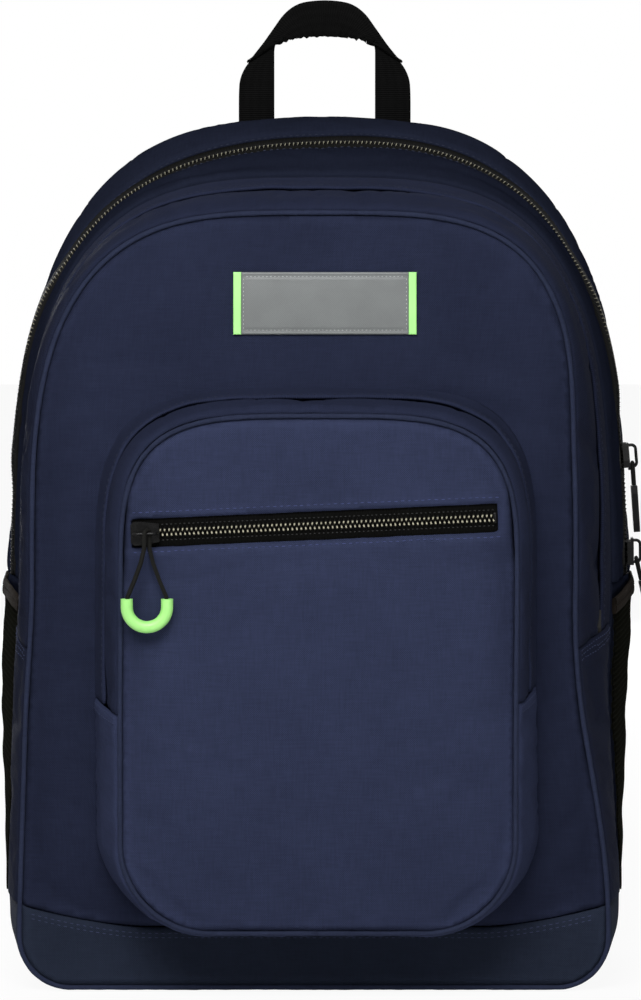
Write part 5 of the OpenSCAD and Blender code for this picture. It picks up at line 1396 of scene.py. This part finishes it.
# ==== Finish of the CAD parts that stay ====
FINISHES = {
    webbing_solid: ("strap_webbing_right", "strap_webbing_left"),
    acetal: ("ladder_lock_right", "ladder_lock_left", "upper_pull_tab", "lower_pull_tab"),
    enamel: ("face_slider", "upper_slider", "lower_slider", "middle_slider", "pocket_slider"),
    cord_mat: ("face_pull_cord", "upper_pull_cord", "lower_pull_cord"), lime: ("face_pull_grip",),
}
for finish, names in FINISHES.items():
    for name in names:
        for part_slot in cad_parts[name].material_slots:
            part_slot.material = finish

# ==== Yoke and wings that hold the straps ====
YOKE_Y, YOKE_LOW, YOKE_SIDE, YOKE_TOP, YOKE_W, YOKE_CUT = Y_BACK + 4.4, 378.0, 398.0, 425.0, 76.0, 14.0


def yoke_y(x, z):
    """The yoke's y: raised from its edges, with a groove where it is sewn down."""
    corner = (YOKE_W - abs(x) + (YOKE_TOP - z) * YOKE_CUT / (YOKE_TOP - YOKE_SIDE)) / 2
    edge = min(YOKE_W - abs(x), z - YOKE_LOW, YOKE_TOP - z, corner)
    return YOKE_Y - 0.9 + 1.1 * ramp(edge, 0, 5) - 0.7 * math.exp(-((edge - 4.2) / 0.9) ** 2)


yoke_loop = [(-YOKE_W, YOKE_LOW), (YOKE_W, YOKE_LOW), (YOKE_W, YOKE_SIDE), (YOKE_W - YOKE_CUT, YOKE_TOP),
             (YOKE_CUT - YOKE_W, YOKE_TOP), (-YOKE_W, YOKE_SIDE)]
yoke = flat_panel("yoke_cloth", [yoke_loop], 1.5, lambda x, z: (x, yoke_y(x, z), z), outward=(0, 1, 0), share=0.0)
yoke.push(0.25 * waves(yoke.V[:, 0], 88, 60, 14) * yoke.away(6))
cloth_object(yoke, dark, ["strap_yoke"], 2.2)


def prism(section, width, side):
    """Soft-edged wedge from a section of (out, up) points in a strap's own frame."""
    bm = bmesh.new()
    ends = [[bm.verts.new((a, y, z)) for y, z in section] for a in (-width / 2, width / 2)]
    n = len(section)
    bm.faces.new(ends[0][::-1])
    bm.faces.new(ends[1])
    for k in range(n):
        bm.faces.new((ends[0][k], ends[0][(k + 1) % n], ends[1][(k + 1) % n], ends[1][k]))
    bmesh.ops.recalc_face_normals(bm, faces=list(bm.faces))
    bmesh.ops.bevel(bm, geom=list(bm.edges), offset=0.75, segments=3, profile=0.5, affect="EDGES")
    long_edges = [e for e in bm.edges if e.calc_length() > 8]
    bmesh.ops.subdivide_edges(bm, edges=long_edges, cuts=5, use_grid_fill=True)
    bmesh.ops.recalc_face_normals(bm, faces=list(bm.faces))
    V, F = drained(bm)
    return on_strap(V, side), F if side > 0 else [f[::-1] for f in F]


UPPER_WING = [(-9.06, 2), (-9.06, 16), (PAD_T / 2 - 1, 6), (PAD_T / 2 - 1, SEAM_GAP), (1 - PAD_T / 2, SEAM_GAP)]
LOWER_WING = [(-1.6, -SEAM_GAP), (1.6, -SEAM_GAP), (-2.6, -14), (-2.6, -22), (-5.0, -22), (-5.0, -12)]
parts = []
for side, _ in SIDES:
    parts += [prism(UPPER_WING, 36.0, side), prism([(y, z - STRAP_L) for y, z in LOWER_WING], 31.0, side)]
sew("wing_cloth", parts, dark_solid, nodes=["strap_wings"])

# ==== Badge: a bare plate of reflective film between two lime bars, stiff enough to bridge the cloth's ripples ====
BADGE_X, BADGE_Z, BADGE_W, BADGE_H, BAR_W = 3.0, 345.0, 91.0, 31.0, 4.0


def cloth_y(x, z):
    """The y of the large face's cloth at (x, z)."""
    hit = mid_face.tree.ray_cast(Vector((x, -300, z)) * MM, Vector((0, 1, 0)))[0]
    return hit[1] / MM if hit is not None else mid_y(x, z)


def badge_terms(x, z):
    """Terms of the quadratic that the badge follows, about its middle."""
    u, v = (np.asarray(x) - BADGE_X) / 50, (np.asarray(z) - BADGE_Z) / 20
    return np.stack([np.ones_like(u), u, v, u * u, u * v, v * v], axis=-1)


grid = [(x, z) for x in np.linspace(BADGE_X - 45, BADGE_X + 45, 25)
        for z in np.linspace(BADGE_Z - 15, BADGE_Z + 15, 11)]
seen_y = np.array([cloth_y(x, z) for x, z in grid])
terms = badge_terms([g[0] for g in grid], [g[1] for g in grid])
badge_fit = np.linalg.lstsq(terms, seen_y, rcond=None)[0]
badge_fit[0] += min(0.0, float((seen_y - terms @ badge_fit).min())) * 0.8


def badge_y(x, z):
    return float(badge_terms(x, z) @ badge_fit)


def plaque(name, x0, x1, thick, mat, node, dip=None):
    """Flat moulded piece of the badge from x0 to x1, with a rounded rim; dip(x, z) presses its face in."""
    steps = lambda a, b: np.concatenate([a + np.array([0, 0.12, 0.35, 0.7]), np.linspace(a + 1.1, b - 1.1, int(b - a)),
                                         b - np.array([0.7, 0.35, 0.12, 0])])
    z0, z1 = BADGE_Z - BADGE_H / 2, BADGE_Z + BADGE_H / 2
    rows = []
    for z in steps(z0, z1):
        row = []
        for x in steps(x0, x1):
            e = min(x - x0, x1 - x, z - z0, z1 - z)
            round_off = 1 - math.sqrt(max(0.0, 1 - (1 - min(1.0, e / 0.6)) ** 2))
            row.append((x, badge_y(x, z) - thick + 0.6 * round_off + (dip(x, z) if dip else 0.0), z))
        rows.append(row)
    patch = grid_patch(name, np.array(rows), "none", flip=True, share=0.0)
    patch.UV = patch.V[:, [0, 2]]
    cloth_object(patch, mat, [node], thick - 0.2)
    return patch


BAR_IN = BADGE_W / 2 - BAR_W


def frame_dip(x, z):
    """Sunken line inside the plate's rim."""
    e = min(BAR_IN - 1.2 - abs(x - BADGE_X), BADGE_H / 2 - 2.2 - abs(z - BADGE_Z))
    return 0.25 * math.exp(-(e / 0.45) ** 2)


plate = plaque("badge_plate_film", BADGE_X - BAR_IN - 0.2, BADGE_X + BAR_IN + 0.2, 1.4, grey,
               "badge_plate", frame_dip)
plaque("badge_bar_right", BADGE_X + BAR_IN, BADGE_X + BADGE_W / 2, 1.7, lime_bar, "badge_bars")
plaque("badge_bar_left", BADGE_X - BADGE_W / 2, BADGE_X - BAR_IN, 1.7, lime_bar, "badge_bars")

# ==== Sewing: rows of thread laid on the settled cloth ====
def shell_row(d, z, inset=0.0):
    """Line over the top at depth d, from height z on the right to the same on the left."""
    return leaned(run_over(lambda u: shell_point(d, u, inset), shell_at(d, inset), z, z, 700))


def pocket_row(v, rise):
    """Line over the pocket's top at share v of its depth, ending a little above the overlap seams."""
    a, b = pocket_ends(v, 0.0, rise)
    return leaned([pocket_point(v, u) for u in np.linspace(a, 8 - b, 500)], POCKET_SHARE)


rows = []
for z in (ZIP_EDGE + 3.3, -ZIP_EDGE - 2.3):
    rows += stitches([on_face(x, z, 0.5) for x in np.linspace(-92, 90, 200)], pocket_face.tree, 2.6, 0.7, 0.27)
sew("sewing_zip", rows, thread)

rows = []
for drop in (2.5, 4.7, 7.0):
    depths = np.linspace(MID_REAR_D + 2, MID_FACE_D - SEAM_EDGE - 1, 30)
    line = [shell_point(d, u_at(shell_at(d), end_at(d, MID_OVERLAP_Z, OVERLAP_SLOPE) - drop)) for d in depths]
    for sign, patch in ((1, mid_side_right), (-1, mid_side_left)):
        rows += stitches(leaned(np.array(line) * [sign, 1, 1]), patch.tree, *SEAM_ROW)
for drop in (2.5, 4.8):
    vs = np.linspace(0.06, 1 - SEAM_EDGE / POCKET_DEPTH - 0.02, 24)
    ends = [(v, pocket_ends(v, 0.0, -drop)) for v in vs]
    for line in ([pocket_point(v, a) for v, (a, _) in ends], [pocket_point(v, 8 - b) for v, (_, b) in ends]):
        rows += stitches(leaned(line, POCKET_SHARE), pocket_low.tree, *SEAM_ROW)
for drop in (3.2, 5.4):
    line = [(x, mid_y(x, boot_line(x) - drop), boot_line(x) - drop) for x in np.linspace(-142, 140, 400)]
    rows += stitches(leaned(line), boot.tree, r=0.25)
sew("sewing_seams", rows, seam_thread)

rows = stitches(shell_row(flap_d - 2.6, MID_OVERLAP_Z + 6), mid_flap.tree, r=0.22)
rows += stitches(pocket_row((POCKET_ZIP_D + FLAP_REACH - 2.6) / POCKET_DEPTH, 4.0), pocket_flap.tree, r=0.22)
rows += stitches(shell_row(ZIP_REAR_D - 2.2, MAIN_ZIP_END + 5), rear.tree)
rows += stitches(shell_row(ZIP_FRONT_D + 2.0, MAIN_ZIP_END + 5, 3.0), front.tree)
for z in (YOKE_LOW + 4.2, YOKE_TOP - 4.2):
    line = [(x, YOKE_Y, z) for x in np.linspace(5 - YOKE_W, YOKE_W - 5, 120) if z < 400 or abs(x) < 58]
    rows += stitches(line, yoke.tree)
sew("sewing_dark", rows, dark_thread)

side_x, side_z = BAR_IN - 1.1, 13.3
lines = [[(x, dz) for x in np.linspace(2 - BAR_IN, BAR_IN - 2, 150)] for dz in (-side_z, side_z)]
lines += [[(dx, z) for z in np.linspace(-13, 13, 60)] for dx in (-side_x, side_x)]
rows = []
for line in lines:
    line = [(BADGE_X + x, BADGE_Z + z) for x, z in line]
    rows += stitches([(x, badge_y(x, z) - 1.4, z) for x, z in line], plate.tree, 1.3, 0.7, 0.14, 0.03)
sew("sewing_badge", rows, pale_thread)

# ==== Floor, backdrop, light ====
FLOOR_GLOW, WORLD_LEVEL, FLOOR_REACH, FLOOR_Z = 0.93, 0.14, 6.0, -0.0005


def seen_by(tree, *kinds):
    """1 for the kinds of ray that are named, 0 for the rest."""
    rays = tree.nodes.new("ShaderNodeLightPath").outputs
    out = rays[kinds[0]]
    for kind in kinds[1:]:
        either = tree.nodes.new("ShaderNodeMath")
        either.operation = "MAXIMUM"
        tree.links.new(out, either.inputs[0])
        tree.links.new(rays[kind], either.inputs[1])
        out = either.outputs[0]
    return out


def stage_material():
    """Pale floor that keeps the object's shadow and is white to the camera elsewhere."""
    mat = bpy.data.materials.new("stage")
    mat.use_nodes = True
    tree = mat.node_tree
    shader = tree.nodes["Principled BSDF"]
    shader.inputs["Base Color"].default_value = (0.9, 0.9, 0.9, 1)
    shader.inputs["Roughness"].default_value = 0.8
    share = tree.nodes.new("ShaderNodeMath")
    share.operation = "MULTIPLY"
    share.inputs[1].default_value = FLOOR_GLOW
    blend = tree.nodes.new("ShaderNodeMixShader")
    tree.links.new(seen_by(tree, "Is Camera Ray"), share.inputs[0])
    for out, socket in ((share.outputs[0], blend.inputs[0]), (shader.outputs[0], blend.inputs[1]),
                        (tree.nodes.new("ShaderNodeEmission").outputs[0], blend.inputs[2]),
                        (blend.outputs[0], tree.nodes["Material Output"].inputs[0])):
        tree.links.new(out, socket)
    return mat


mesh = bpy.data.meshes.new("floor")
corners = [(x * FLOOR_REACH, y * FLOOR_REACH, FLOOR_Z) for x, y in ((-1, -1), (1, -1), (1, 1), (-1, 1))]
mesh.from_pydata(corners, [], [(0, 1, 2, 3)])
mesh.materials.append(stage_material())
floor = linked("floor", mesh)

world = bpy.data.worlds.new("studio")
world.use_nodes = True
scene.world = world
tree = world.node_tree
level = tree.nodes.new("ShaderNodeMapRange")
level.inputs[3].default_value, level.inputs[4].default_value = WORLD_LEVEL, 1.0
tree.links.new(seen_by(tree, "Is Camera Ray", "Is Glossy Ray", "Is Transmission Ray"), level.inputs[0])
tree.links.new(level.outputs[0], tree.nodes["Background"].inputs["Strength"])
tree.nodes["Background"].inputs["Color"].default_value = (1, 1, 1, 1)

LAMPS = (("key", (-0.2, -1.2, 1.15), (0.9, 0.7), 22.5), ("fill", (0.7, -2.1, 0.5), (1.0, 1.2), 4),
         ("rear", (-0.3, 1.9, 0.3), (1.0, 0.8), 26))
LAMP_AIM = Vector((0, 0, 0.24))
for name, place, size, watts in LAMPS:
    lamp = bpy.data.lights.new(name, "AREA")
    lamp.shape, lamp.energy = "RECTANGLE", watts
    lamp.size, lamp.size_y = size
    ob = linked(name, lamp)
    ob.location = place
    ob.rotation_euler = (LAMP_AIM - Vector(place)).to_track_quat("-Z", "Y").to_euler()

scene.view_settings.view_transform = "Standard"
